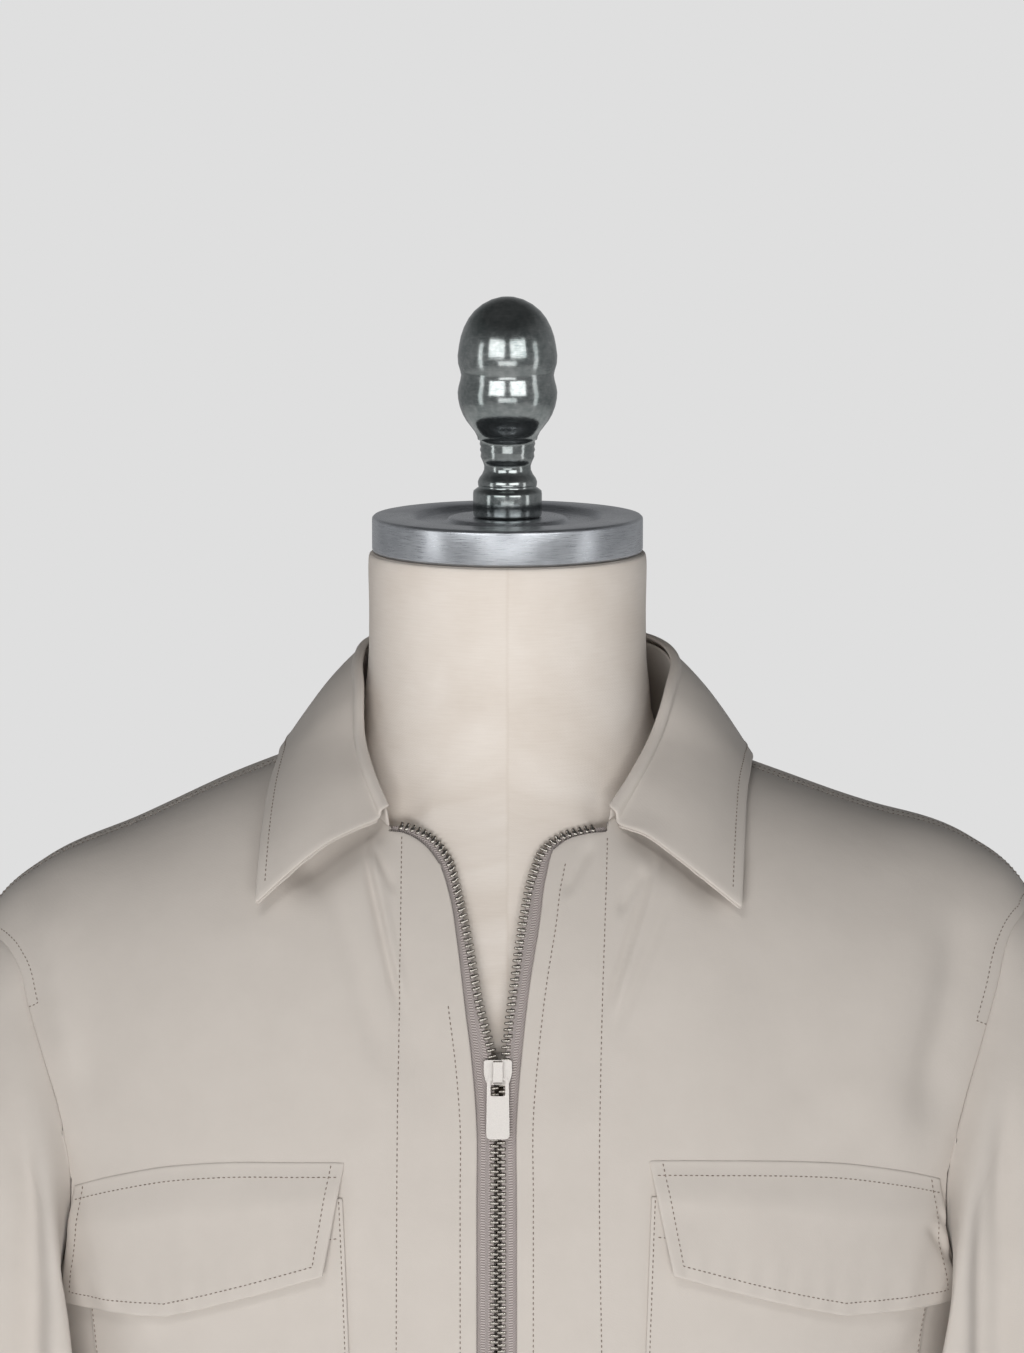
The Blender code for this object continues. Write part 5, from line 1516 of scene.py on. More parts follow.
# ---------------------------------------------------------------- the garment
@dataclass
class Panels:
    """The two fronts and the back, with the stitches on them."""

    surface: BodySurface
    looks: Wardrobe
    lines: dict[Side, ZipLine]
    front_flat: tuple[float, float] = (0.262, 0.742)
    back_flat: tuple[float, float] = (0.530, 0.752)
    armhole_inset: float = 0.0064
    edge_inset: float = 0.0070
    front_shoulder_inset: float = 0.0022
    back_shoulder_inset: float = 0.0060
    hem: float = 0.022
    evening: int = 120              # rounds that even out the yoke's inner points
    line_points: int = 900
    probe: float = 0.001
    bar_length: float = 0.3         # the step, in rows, that the armhole's stitches end with
    shoulder_seam: dict[Side, tuple[float, float]] = field(
        default_factory=lambda: {Side.LEFT: (0.56, 0.99), Side.RIGHT: (0.01, 0.44)})
    edge_start: dict[Side, float] = field(default_factory=lambda: {Side.RIGHT: 0.180, Side.LEFT: 0.1235})
    facing: dict[Side, tuple[tuple[float, ...], tuple[float, ...]]] = field(default_factory=lambda: {
        Side.RIGHT: ((0.1135, 0.230, 0.360, 0.786), (-0.0453, -0.0466, -0.0473, -0.0473)),
        Side.LEFT: ((0.1140, 0.180, 0.240, 0.340, 0.786), (0.0429, 0.0405, 0.0390, 0.0402, 0.0410)),
    })
    armhole_end: dict[Side, float] = field(default_factory=lambda: {Side.RIGHT: 0.245, Side.LEFT: 0.312})
    sheets: dict[str, Sheet] = field(default_factory=dict)

    def front_sheet(self, side: Side) -> Sheet:
        """Lay out one front: the yoke's patch, and level rows below it.

        Args:
            side: the side.

        Returns:
            The grid.
        """
        surface, line = self.surface, self.lines[side]
        outer = surface.side_edge(Face.FRONT, side, FINE)
        places = refine(line.rows(), FINE)
        inner = surface.on_body(line.curve(places, "edge"))
        yoke = YOKE_ROWS * FINE
        inner[yoke:, 1] = outer[yoke:, 1]
        angles = np.array(POCKET_ANGLES)
        fade = np.clip((angles[-1] - angles) / (angles[-1] - angles[0]), 0.0, 1.0)
        fixed = np.concatenate([INNER_ANGLES, angles - side.value * POCKET_SHIFT * fade])
        low_inner, low_outer = inner[yoke:], outer[yoke:]
        rest = angles[-1] + (low_outer[:, :1] - angles[-1]) * np.arange(1, SIDE_COLUMNS + 1) / SIDE_COLUMNS
        fixed = np.broadcast_to(fixed, (len(low_inner), len(fixed)))
        turns = np.concatenate([low_inner[:, :1], fixed, rest], axis=1)
        turns = refine(turns.T, ACROSS).T
        lower = np.stack([turns, np.broadcast_to(low_outer[:, 1:], turns.shape)], axis=-1)
        shoulder = (turns.shape[1] - 1) - (NECK_COLUMNS + CURL_COLUMNS) * ACROSS
        seam = surface.top_edge(side, Face.FRONT, NECK_COLUMNS * ACROSS, shoulder)
        curl = np.linspace(places[0], 0.0, CURL_COLUMNS * ACROSS + 1)[:-1]
        top = np.vstack([surface.on_body(line.curve(curl, "edge")), seam])
        upper = relaxed(surface.patch(top, lower[0], inner[:yoke + 1], outer[:yoke + 1]), self.evening)
        grid = np.concatenate([upper, lower[1:]])
        return front_layer(surface.point(grid[..., 0], grid[..., 1], side.value, Face.FRONT), side)

    def back_sheet(self) -> Sheet:
        """Lay out the back, from its left armhole to its right one.

        Returns:
            The grid.
        """
        surface, halves = self.surface, []
        yoke = YOKE_ROWS * FINE
        for side in Side:
            outer = surface.side_edge(Face.BACK, side, FINE)
            top = surface.top_edge(side, Face.BACK, BACK_NECK_COLUMNS * FINE,
                                   (BACK_COLUMNS - BACK_NECK_COLUMNS) * FINE)
            share = np.linspace(0.0, 1.0, BACK_COLUMNS * FINE + 1)
            turns = outer[yoke:, :1] * share
            lower = np.stack([turns, np.broadcast_to(outer[yoke:, 1:], turns.shape)], axis=-1)
            rolls = np.linspace(surface.roll_of(top[0, 1]), surface.roll_of(np.array(YOKE_LEVEL)), yoke + 1)
            middle = np.stack([np.zeros(yoke + 1), surface.level_of(rolls)], axis=-1)
            upper = surface.patch(top, lower[0], middle, outer[:yoke + 1])
            grid = np.concatenate([upper, lower[1:]])
            halves.append(surface.point(grid[..., 0], grid[..., 1], side.value, Face.BACK))
        points = np.concatenate([halves[0][:, ::-1], halves[1][:, 1:]], axis=1)
        points[..., 1] += SEAM_GAP / 2.0
        return Sheet(points)

    def armhole_path(self, sheet: Sheet, side: Side) -> Path:
        """Follow the armhole's topstitch: beside the seam, and across to it at its lower end.

        Args:
            sheet: the front.
            side: the side.

        Returns:
            Its points and normals.
        """
        edge = Edge.LAST if side is Side.LEFT else Edge.FIRST
        place = sheet.inset(edge, self.armhole_inset)
        levels = refine(self.surface.row_levels(), FINE)
        last = float(np.interp(self.armhole_end[side], levels, np.arange(len(levels))))
        rows = np.linspace(1.0, last, 200)
        columns = np.interp(rows, np.arange(len(place)), place)
        border = sheet.points.shape[1] - 1 if side is Side.LEFT else 0
        bar_rows = np.linspace(last, last + self.bar_length, 30)
        bar_columns = np.linspace(columns[-1], border, 30)
        return sheet.at(np.concatenate([rows, bar_rows]), np.concatenate([columns, bar_columns]))

    def front_line(self, line: Array) -> Path:
        """Put a line on a front.

        Args:
            line: (x, drop) points.

        Returns:
            Points and normals.
        """
        points = self.surface.front(line[:, 0], line[:, 1])
        points[:, 1] -= SEAM_GAP / 2.0
        raised = self.surface.front(line[:, 0], line[:, 1], self.probe)
        raised[:, 1] -= SEAM_GAP / 2.0
        return points, unit(raised - points)

    def build(self) -> None:
        """Make the panels and their stitches."""
        for side in Side:
            name = f"front_{side.name.lower()}"
            sheet = self.front_sheet(side)
            self.sheets[name] = sheet
            panel = dress(sheet.shell(f"{name}_cloth", WALL), self.looks.cloth, (name,))
            drops, xs = self.facing[side]
            at = np.linspace(drops[0], drops[-1], self.line_points)
            Stitching().build(
                f"{name}_stitches", self.looks.thread,
                self.front_line(np.stack([smooth_line(np.array(drops), np.array(xs), at), at], axis=-1)),
                self.front_line(self.lines[side].beside(self.edge_inset, self.edge_start[side], drops[-1])),
                self.armhole_path(sheet, side),
                sheet.along(Edge.BOTTOM, self.hem, 0.02, 0.98),
                sheet.along(Edge.TOP, self.front_shoulder_inset, *self.shoulder_seam[side]))
        back = self.back_sheet()
        self.sheets["back"] = back
        panel = dress(back.shell("back_cloth", WALL), self.looks.cloth, ("back",))
        Stitching().build("back_stitches", self.looks.thread, back.along(Edge.BOTTOM, self.hem, 0.01, 0.99),
                          *(back.along(Edge.TOP, self.back_shoulder_inset, start, end)
                            for start, end in ((0.01, 0.31), (0.69, 0.99))))


@dataclass
class Sleeves:
    """The two sleeves: rings from the armhole to the cuff."""

    surface: BodySurface
    looks: Wardrobe
    panels: Panels
    head_rows: int = 8
    arm_drop: float = 0.120
    clear: float = 0.0052
    softness: float = 0.02
    flat: tuple[float, float] = (0.42, 0.62)
    flat_area: float = 0.192
    hem: float = 0.020
    outer_settle: float = 0.75      # how much less the outside of the sleeve's head runs straight down
    gap_start: float = 0.45         # the share of the gap to the body at the armhole
    gap_growth: float = 0.2
    crease_reach: float = 0.5
    uneven: float = 0.0005          # slow waves: height, length and seed
    wave: float = 0.05
    wave_seed: int = 11

    def push_clear(self, points: Array, clear: Array | float) -> Array:
        """Move points out of the body along horizontal rays.

        Formula: a point's reach is the oval's ((x/a)^n + (y/b)^n)^(1/n) with the body's half
        width and depth plus the gap; it is scaled to the soft maximum of its reach and 1.

        Args:
            points: the points.
            clear: the least gap.

        Returns:
            The moved points.
        """
        x, y, drop = points[..., 0], points[..., 1], -points[..., 2]
        level = self.surface.level_at(x, drop)
        across = self.surface.half_width(level) + clear
        front, back = (self.surface.depth(level, face) for face in Face)
        deep = np.where(y < 0.0, front, back) + clear
        power = self.surface.squareness
        reach = ((np.abs(x) / across) ** power + (np.abs(y) / deep) ** power) ** (1.0 / power)
        blended = 0.5 * (reach + 1.0 + np.sqrt((reach - 1.0) ** 2 + self.softness**2))
        scale = np.where(reach < 1.0 + 4.0 * self.softness, blended / reach, 1.0)
        return points * np.stack([scale, scale, np.ones_like(scale)], axis=-1)

    def sheet(self, side: Side) -> Sheet:
        """Lay out one sleeve.

        Formula: cubic curves lead from the armhole, in the direction of the table, down to
        the ring at the upper arm; below it the rings are half ovals about a centre, swung
        in at the front, and all of them are pushed clear of the body.

        Args:
            side: the side.

        Returns:
            The grid.
        """
        count = len(ARMHOLE.rows) * FINE + 1
        front = self.panels.sheets[f"front_{side.name.lower()}"].points
        back = self.panels.sheets["back"].points
        front_edge = front[:count, -1 if side is Side.LEFT else 0]
        back_edge = back[:count, 0 if side is Side.LEFT else -1]
        armhole = np.vstack([front_edge, back_edge[-2:0:-1]])
        share = np.concatenate([np.linspace(0.0, 1.0, count), np.linspace(1.0, 0.0, count)[1:-1]])
        facing = np.concatenate([np.full(count, -1.0), np.full(count - 2, 1.0)])
        shares = SLEEVE_HEAD["share"]
        out, face, down, reach = (smooth_line(shares, SLEEVE_HEAD[name], share)
                                  for name in ("out", "face", "down", "reach"))
        direction = unit(np.stack([side.value * out, facing * face, -down], axis=-1))
        turn = np.pi * share
        rows = refine(SLEEVE.rows, 2 * FINE, smooth=True)[:, :, None]
        drop, centre_x, centre_y, half_width, half_depth, swing = (rows[:, k] for k in range(6))
        swung = np.where(facing < 0.0, swing * np.sin(turn) ** 2, 0.0)
        rings = np.stack([
            side.value * (centre_x + half_width * np.cos(turn) - swung),
            centre_y + facing * half_depth * np.sin(turn),
            np.broadcast_to(-drop, swung.shape)], axis=-1)
        rings = self.push_clear(rings, self.clear)
        first = armhole - direction * SEAM_GAP * 2.0
        lead = armhole + direction * reach[:, None]
        settle = rings[0] + np.array([0.0, 0.0, self.arm_drop]) * (1.0 - self.outer_settle * share**3)[:, None]
        steps = self.head_rows * FINE
        t = (np.arange(steps) / steps)[:, None, None]
        head = ((1 - t)**3 * first + 3 * (1 - t)**2 * t * lead + 3 * (1 - t) * t**2 * settle + t**3 * rings[0])
        gap = self.clear * np.minimum(1.0, self.gap_start + self.gap_growth * np.arange(steps) / FINE)[:, None]
        fade = np.minimum(1.0, np.arange(steps) / FINE)[:, None, None]
        head = head * (1 - fade) + self.push_clear(head, gap) * fade
        points = np.concatenate([head, rings])
        sheet = Sheet(points if side is Side.RIGHT else points[:, ::-1], closed=True)
        x, low = sheet.points[..., 0], -sheet.points[..., 2]
        ahead = smoothstep(-sheet.normals[..., 1] / self.crease_reach)
        away = smoothstep((np.arange(len(points)) - FINE / 2) / (2.5 * FINE))[:, None]
        waves = self.uneven * slow_waves(x * 2.0, low, self.wave, self.wave_seed)
        height = fold_height(CREASES, "sleeve", x, low) * ahead + waves
        return sheet.raised(height * away)

    def build(self) -> None:
        """Make the sleeves and the stitches of their hems."""
        for side in Side:
            name = f"sleeve_{side.name.lower()}"
            sheet = self.sheet(side)
            sleeve = dress(sheet.shell(f"{name}_cloth", WALL), self.looks.cloth, (name,))
            ring = tuple(np.vstack([values, values[:1]]) for values in sheet.along(Edge.BOTTOM, self.hem))
            Stitching().build(f"{name}_stitches", self.looks.thread, ring)


@dataclass
class ShirtCollar:
    """The collar's stand and its leaf, which folds over it."""

    surface: BodySurface
    looks: Wardrobe
    stand_flat: tuple[float, float] = (0.400, 0.042)
    stand_area: float = 0.0142
    leaf_flat: tuple[float, float] = (0.460, 0.075)
    leaf_area: float = 0.0295
    raised: float = 1.6 * SEAM_GAP
    reach: float = 0.0040
    clear: float = 0.0036
    rise: float = 0.0035
    bulge: float = 0.004
    crest_back: float = 0.0004
    turn_down: float = 0.0012
    leaf_wall: float = 0.0016
    inset: float = 0.0056
    front_reach: float = 0.022
    front_fall: tuple[float, ...] = (0.0, 0.0008, 0.0025, 0.0012, 0.0, 0.0, 0.0)
    tip_reach: float = 0.055
    front_out: tuple[float, ...] = (0.0, 0.0008, 0.0025, 0.0055, 0.0080, 0.0095, 0.0090)
    left_fall: float = 0.65
    slack: float = 0.0007
    slack_wave: float = 0.020
    slack_seed: int = 5
    shoulder_reach: float = 0.6
    crest_gaps: float = 3.0         # seam gaps over the stand at the crest and at the shoulder
    shoulder_gaps: float = 2.0
    stations: tuple[float, ...] = (0.22, 0.45, 0.70, 1.0)
    stitch_ends: tuple[float, float] = (0.012, 0.988)

    def lines(self) -> tuple[Array, Array, Array]:
        """Draw the seam, fold and brim of the collar from its right front end to its left.

        Returns:
            The three lines.
        """
        surface, halves = self.surface, []
        for side in (Side.RIGHT, Side.LEFT):
            at_shoulder = surface.seam_share(side)
            shares = np.concatenate([np.linspace(0.0, at_shoulder, BACK_NECK_COLUMNS * FINE + 1),
                                     np.linspace(at_shoulder, 1.0, NECK_COLUMNS * FINE + 1)[1:]])
            seam, fold, fold_drop, edge, lift = collar_station(shares, side)
            level = surface.height_over(seam[:, 0], seam[:, 1])[1]
            angle = surface.angle_at(seam[:, 0], level)
            front = surface.point(angle, level, side.value, Face.FRONT, self.raised)
            back = surface.point(angle, level, side.value, Face.BACK, self.raised)
            base = np.where((seam[:, 1] < 0.0)[:, None], front, back)
            brim = np.column_stack([edge, surface.height_over(edge[:, 0], edge[:, 1])[0] + lift])
            order = slice(None, None, -1) if side is Side.RIGHT else slice(1, None)
            halves.append([line[order] for line in (base, np.column_stack([fold, -fold_drop]), brim)])
        return tuple(np.vstack([halves[0][k], halves[1][k]]) for k in range(3))

    def leaf_sheet(self, top: Array, brim: Array) -> Sheet:
        """Lay out the leaf.

        Formula: a crest over the stand, a shoulder and a turn, then the way from the turn to
        the brim, bowed up by a half sine and kept above the cloth below; smooth between.

        Args:
            top: the fold.
            brim: the brim.

        Returns:
            The grid.
        """
        along = unit(np.gradient(top, axis=0))
        away = (brim - top) * np.array([1.0, 1.0, 0.0])
        away = unit(away - along * np.sum(away * along, axis=-1, keepdims=True))
        up = unit(np.cross(away, along))
        up = up * np.sign(up[:, 2:3])
        crest = top - away * self.crest_back + up * (WALL + self.crest_gaps * SEAM_GAP)
        shoulder = top + away * (self.reach * self.shoulder_reach) + up * (WALL + self.shoulder_gaps * SEAM_GAP)
        turn = top + away * self.reach - up * self.turn_down
        t = np.array(self.stations)[:, None]
        lower = turn * (1 - t[..., None]) + brim * t[..., None]
        surface = self.surface.height_over(lower[..., 0], lower[..., 1])[0]
        bowed = lower[..., 2] + self.bulge * np.sin(np.pi * t)
        lower[..., 2] = np.maximum(bowed, surface + self.clear + self.rise * (1.0 - t)**2)
        rows = np.concatenate([np.stack([crest, shoulder, turn]), lower])
        length = running(top)
        end = 1.0 - smoothstep(np.minimum(length, length[-1] - length) / self.front_reach)
        fall, out = np.array(self.front_fall)[:, None], np.array(self.front_out)[:, None]
        left_end = 1.0 - smoothstep((length[-1] - length) / self.tip_reach)
        rows[..., 2] -= fall * end + out * self.left_fall * left_end
        rows[..., 1] -= out * (1.0 - smoothstep(np.minimum(length, length[-1] - length) / self.tip_reach))
        return Sheet(refine(rows, FINE, smooth=True))

    def build(self) -> None:
        """Make the stand, the leaf and the leaf's topstitch."""
        base, top, brim = self.lines()
        share = np.linspace(0.0, 1.0, 2 * FINE + 1)[:, None, None]
        stand = Sheet(top * (1 - share) + base * share)
        piece = dress(stand.shell("collar_stand_cloth", WALL), self.looks.cloth, ("collar_stand",))
        leaf = self.leaf_sheet(top, brim)
        piece = dress(leaf.shell("collar_leaf_cloth", self.leaf_wall), self.looks.cloth, ("collar_leaf",))
        under = Sheet(leaf.points[2 * FINE:])
        sag = slow_waves(under.points[..., 0], under.points[..., 1] + under.points[..., 2],
                         self.slack_wave, self.slack_seed)
        under = under.raised(WALL + SEAM_GAP + self.slack * sag**2)
        piece = dress(under.shell("collar_under_cloth", WALL), self.looks.cloth)
        points, normals = leaf.along(Edge.BOTTOM, self.inset, *self.stitch_ends)
        Stitching().build("collar_stitches", self.looks.thread, (points - normals * self.leaf_wall, -normals))


@dataclass
class ChestPockets:
    """Patch pockets, and the flaps over them."""

    surface: BodySurface
    looks: Wardrobe
    layer: float = WALL + SEAM_GAP
    spare: float = 0.0009
    seat: float = 0.0006
    curl: float = 0.0022
    wall: float = 0.0017
    pocket_flat: tuple[float, float] = (0.138, 0.150)
    flap_flat: tuple[float, float] = (0.138, 0.066)
    top_inset: float = 0.0066
    inset: float = 0.0057
    edge_inset: float = 0.0016
    path_top: float = 0.001
    hem: float = 0.0172
    hem_ends: tuple[float, float] = (0.02, 0.98)
    top_ends: tuple[float, float] = (0.012, 0.988)
    curl_start: float = 0.35        # the share of the flap's height where it begins to curl
    crease: float = 0.00022         # shallow waves in the flap's lower half: height, number and slant
    crease_turn: float = 34.0
    crease_slant: float = 3.0
    crease_start: float = 0.55
    rise_speed: float = 2.6
    pieces: int = 14

    def shifted(self, angles: Array, side: Side) -> Array:
        """Turn angles toward the right by the pockets' shift, which fades at their outer end."""
        first, last = POCKET_ANGLES[0], POCKET_ANGLES[-1]
        return angles - side.value * POCKET_SHIFT * np.clip((last - angles) / (last - first), 0.0, 1.0)

    def placed(self, angles: Array, levels: Array, lift: Array | float, side: Side) -> Sheet:
        """Return a layer over the front, at angles and levels and a height above the cloth."""
        return front_layer(self.surface.point(angles, levels, side.value, Face.FRONT, lift), side)

    def pocket_sheet(self, side: Side) -> Sheet:
        """Lay out a pocket: the front's own angles and levels, one layer up.

        Args:
            side: the side.

        Returns:
            The grid.
        """
        angles, levels = np.meshgrid(refine(self.shifted(np.array(POCKET_ANGLES), side), self.pieces),
                                     refine(np.array(POCKET_LEVELS), self.pieces))
        return self.placed(angles, levels, self.layer, side)

    def flap_sheet(self, side: Side) -> Sheet:
        """Lay out a flap, which rises from the front to pass over the pocket.

        Formula: angles and levels blend from the top edge to the bottom edge, and the lift
        grows by one layer with a smooth step, and by a soft curl at the lower corners.

        Args:
            side: the side.

        Returns:
            The grid.
        """
        table = FLAP_EDGE.rows
        top = refine(table[:, :2], self.pieces, smooth=True)
        bottom = refine(table[:, 2:], self.pieces)
        share = np.linspace(0.0, 1.0, 5 * self.pieces + 1)[:, None]
        angles = self.shifted(top[:, 0] + share * (bottom[:, 0] - top[:, 0]), side)
        levels = top[:, 1] + share * (bottom[:, 1] - top[:, 1])
        across = np.linspace(-1.0, 1.0, len(top))[None, :]
        curl = self.curl * smoothstep((share - self.curl_start) / 0.65) * (0.75 + 0.5 * np.abs(across) ** 3)
        waves = np.sin(across * self.crease_turn + share * self.crease_slant)
        crease = self.crease * waves * smoothstep((share - self.crease_start) / 0.4)
        rise = self.layer + self.spare + self.layer - self.seat
        lift = self.seat + rise * smoothstep(share * self.rise_speed + 0.02) * np.ones_like(angles)
        return self.placed(angles, levels, lift + curl + crease, side)

    def build(self) -> None:
        """Make both pockets and both flaps, with their stitches."""
        for side in Side:
            which = side.name.lower()
            pocket = self.pocket_sheet(side)
            piece = dress(pocket.shell(f"pocket_{which}_cloth", WALL), self.looks.cloth,
                          (f"pocket_{which}",))
            Stitching().build(f"pocket_{which}_stitches", self.looks.thread,
                              pocket.round_three_sides(self.edge_inset, self.edge_inset, self.path_top),
                              pocket.along(Edge.TOP, self.hem, *self.hem_ends))
            flap = self.flap_sheet(side)
            piece = dress(flap.shell(f"pocket_flap_{which}_cloth", self.wall), self.looks.cloth,
                          (f"pocket_flap_{which}",))
            Stitching().build(f"pocket_flap_{which}_stitches", self.looks.thread,
                              flap.along(Edge.TOP, self.top_inset, *self.top_ends),
                              flap.round_three_sides(self.inset, self.inset, self.path_top))


@dataclass
class ZipFastener:
    """Tapes, teeth, slider, pull tab and the box at the foot."""

    surface: BodySurface
    looks: Wardrobe
    lines: dict[Side, ZipLine]
    nodes: dict[str, bpy.types.Object]
    tuck: float = 0.0100
    tape_depth: float = WALL + 0.0009
    tape_wall: float = 0.0009
    pitch: float = 0.0027
    tooth_reach: tuple[float, ...] = (0.0019, 0.0016, 0.0003, -0.0002, -0.0009, -0.0015, -0.0019, -0.0021)
    tooth_width: tuple[float, ...] = (0.00078, 0.00100, 0.00102, 0.00084, 0.00070, 0.00068, 0.00056, 0.00022)
    tooth_height: tuple[float, ...] = (0.00060, 0.00095, 0.00100, 0.00075, 0.00095, 0.00100, 0.00070, 0.00025)
    tooth_sides: int = 8
    tooth_corner: float = 0.7       # 1 makes a tooth's section an oval, 0 a rectangle
    probe: float = 0.001
    line_end: float = 0.001
    line_points: int = 2400
    slider_bevel: float = 0.00028
    tab_bevel: float = 0.00030
    box_bevel: float = 0.00035
    bevel_steps: int = 3
    sharp: float = 35.0             # edges that turn by more degrees are rounded
    tape_flat: tuple[float, float] = (0.020, 0.700)

    def tape(self, side: Side) -> None:
        """Make one tape: from the teeth past the panel's edge to the part hidden behind it.

        Args:
            side: the side.
        """
        line = self.lines[side]
        rows = line.rows()
        rows = rows[rows < line.knots()[-1]]
        curl = np.linspace(0.0, rows[0], 2 * CURL_COLUMNS + 1)[:-1]
        places = refine(np.concatenate([curl, rows, line.knots()[-1:]]), FINE)
        edge, teeth = line.curve(places, "edge"), line.curve(places, "teeth")
        tuck = edge + unit(edge - teeth) * self.tuck
        strips = refine(np.stack([teeth, edge, tuck]), 4).transpose(1, 0, 2)
        sheet = front_layer(self.surface.front(strips[..., 0], strips[..., 1], -self.tape_depth), side)
        name = f"zip_tape_{side.name.lower()}"
        tape = dress(sheet.shell(f"{name}_cloth", self.tape_wall), self.looks.tape, (name,))

    def teeth(self, side: Side) -> None:
        """Make one row of teeth.

        Formula: tooth k is centred k pitches along the tape's edge, half a pitch later on
        the right side. Its rings stand across the tape's edge at the listed reaches; each is
        a rounded rectangle cos^0.7 by sin^0.7 of the listed half width and half height.

        Args:
            side: the side.
        """
        line = self.lines[side]
        places = np.linspace(self.line_end, line.knots()[-1] - self.line_end, self.line_points)
        teeth, edge = line.curve(places, "teeth"), line.curve(places, "edge")
        level = -(self.tape_depth + self.tape_wall / 2.0)
        points = self.surface.front(teeth[:, 0], teeth[:, 1], level)
        high = self.surface.front(teeth[:, 0], teeth[:, 1], level + self.probe)
        outer = self.surface.front(edge[:, 0], edge[:, 1], level)
        length = running(points)
        start = self.pitch * (0.5 if side is Side.LEFT else 1.0)
        at = length[-1] - start - np.arange(int((length[-1] - start) / self.pitch)) * self.pitch
        centre, normal, toward = (read_along(at, length, values)
                                  for values in (points, unit(high - points), unit(outer - points)))
        along = unit(np.cross(normal, toward))
        turn = np.arange(self.tooth_sides) * math.tau / self.tooth_sides
        width = np.sign(np.cos(turn)) * np.abs(np.cos(turn)) ** self.tooth_corner
        height = np.sign(np.sin(turn)) * np.abs(np.sin(turn)) ** self.tooth_corner
        reach = np.array(self.tooth_reach)[None, :, None, None]
        wide = (np.array(self.tooth_width)[:, None] * width)[None, :, :, None]
        tall = (np.array(self.tooth_height)[:, None] * height)[None, :, :, None]
        rings = (centre[:, None, None] + toward[:, None, None] * reach
                 + along[:, None, None] * wide + normal[:, None, None] * tall)
        rings = rings + np.array([0.0, -SEAM_GAP / 2.0, NECK_TOP])
        caps = ((0, 1, 2, 3), (0, 3, 4, 5), (0, 5, 6, 7))
        thing = capped(f"zip_teeth_{side.name.lower()}", rings, caps, False)
        remade(thing.data, thing.data)
        dress(thing, self.looks.tooth)

    def hard_piece(self, node: str, name: str, bevel: float, body: str = ROOT) -> None:
        """Make a piece of cast metal from the frame's own shape, with its edges rounded.

        Args:
            node: the solid it replaces.
            name: its name.
            bevel: the radius of its edges.
            body: the body it rides on.
        """
        thing = stand(name, bpy.data.meshes.new(name))
        remade(self.nodes[node].data, thing.data, LOOSE, True)
        edges = thing.modifiers.new("rounded_edges", "BEVEL")
        edges.width = bevel
        edges.segments = self.bevel_steps
        edges.limit_method = "ANGLE"
        edges.angle_limit = math.radians(self.sharp)
        thing.data.shade_flat()
        dress(thing, self.looks.plate, (node,), body)

    def build(self) -> None:
        """Make the whole zip."""
        for side in Side:
            self.tape(side)
            self.teeth(side)
        self.hard_piece("zip_slider", "zip_slider_cast", self.slider_bevel)
        self.hard_piece("zip_pull_tab", "zip_pull_tab_cast", self.tab_bevel, TAB_BODY)
        self.hard_piece("zip_box", "zip_box_cast", self.box_bevel)


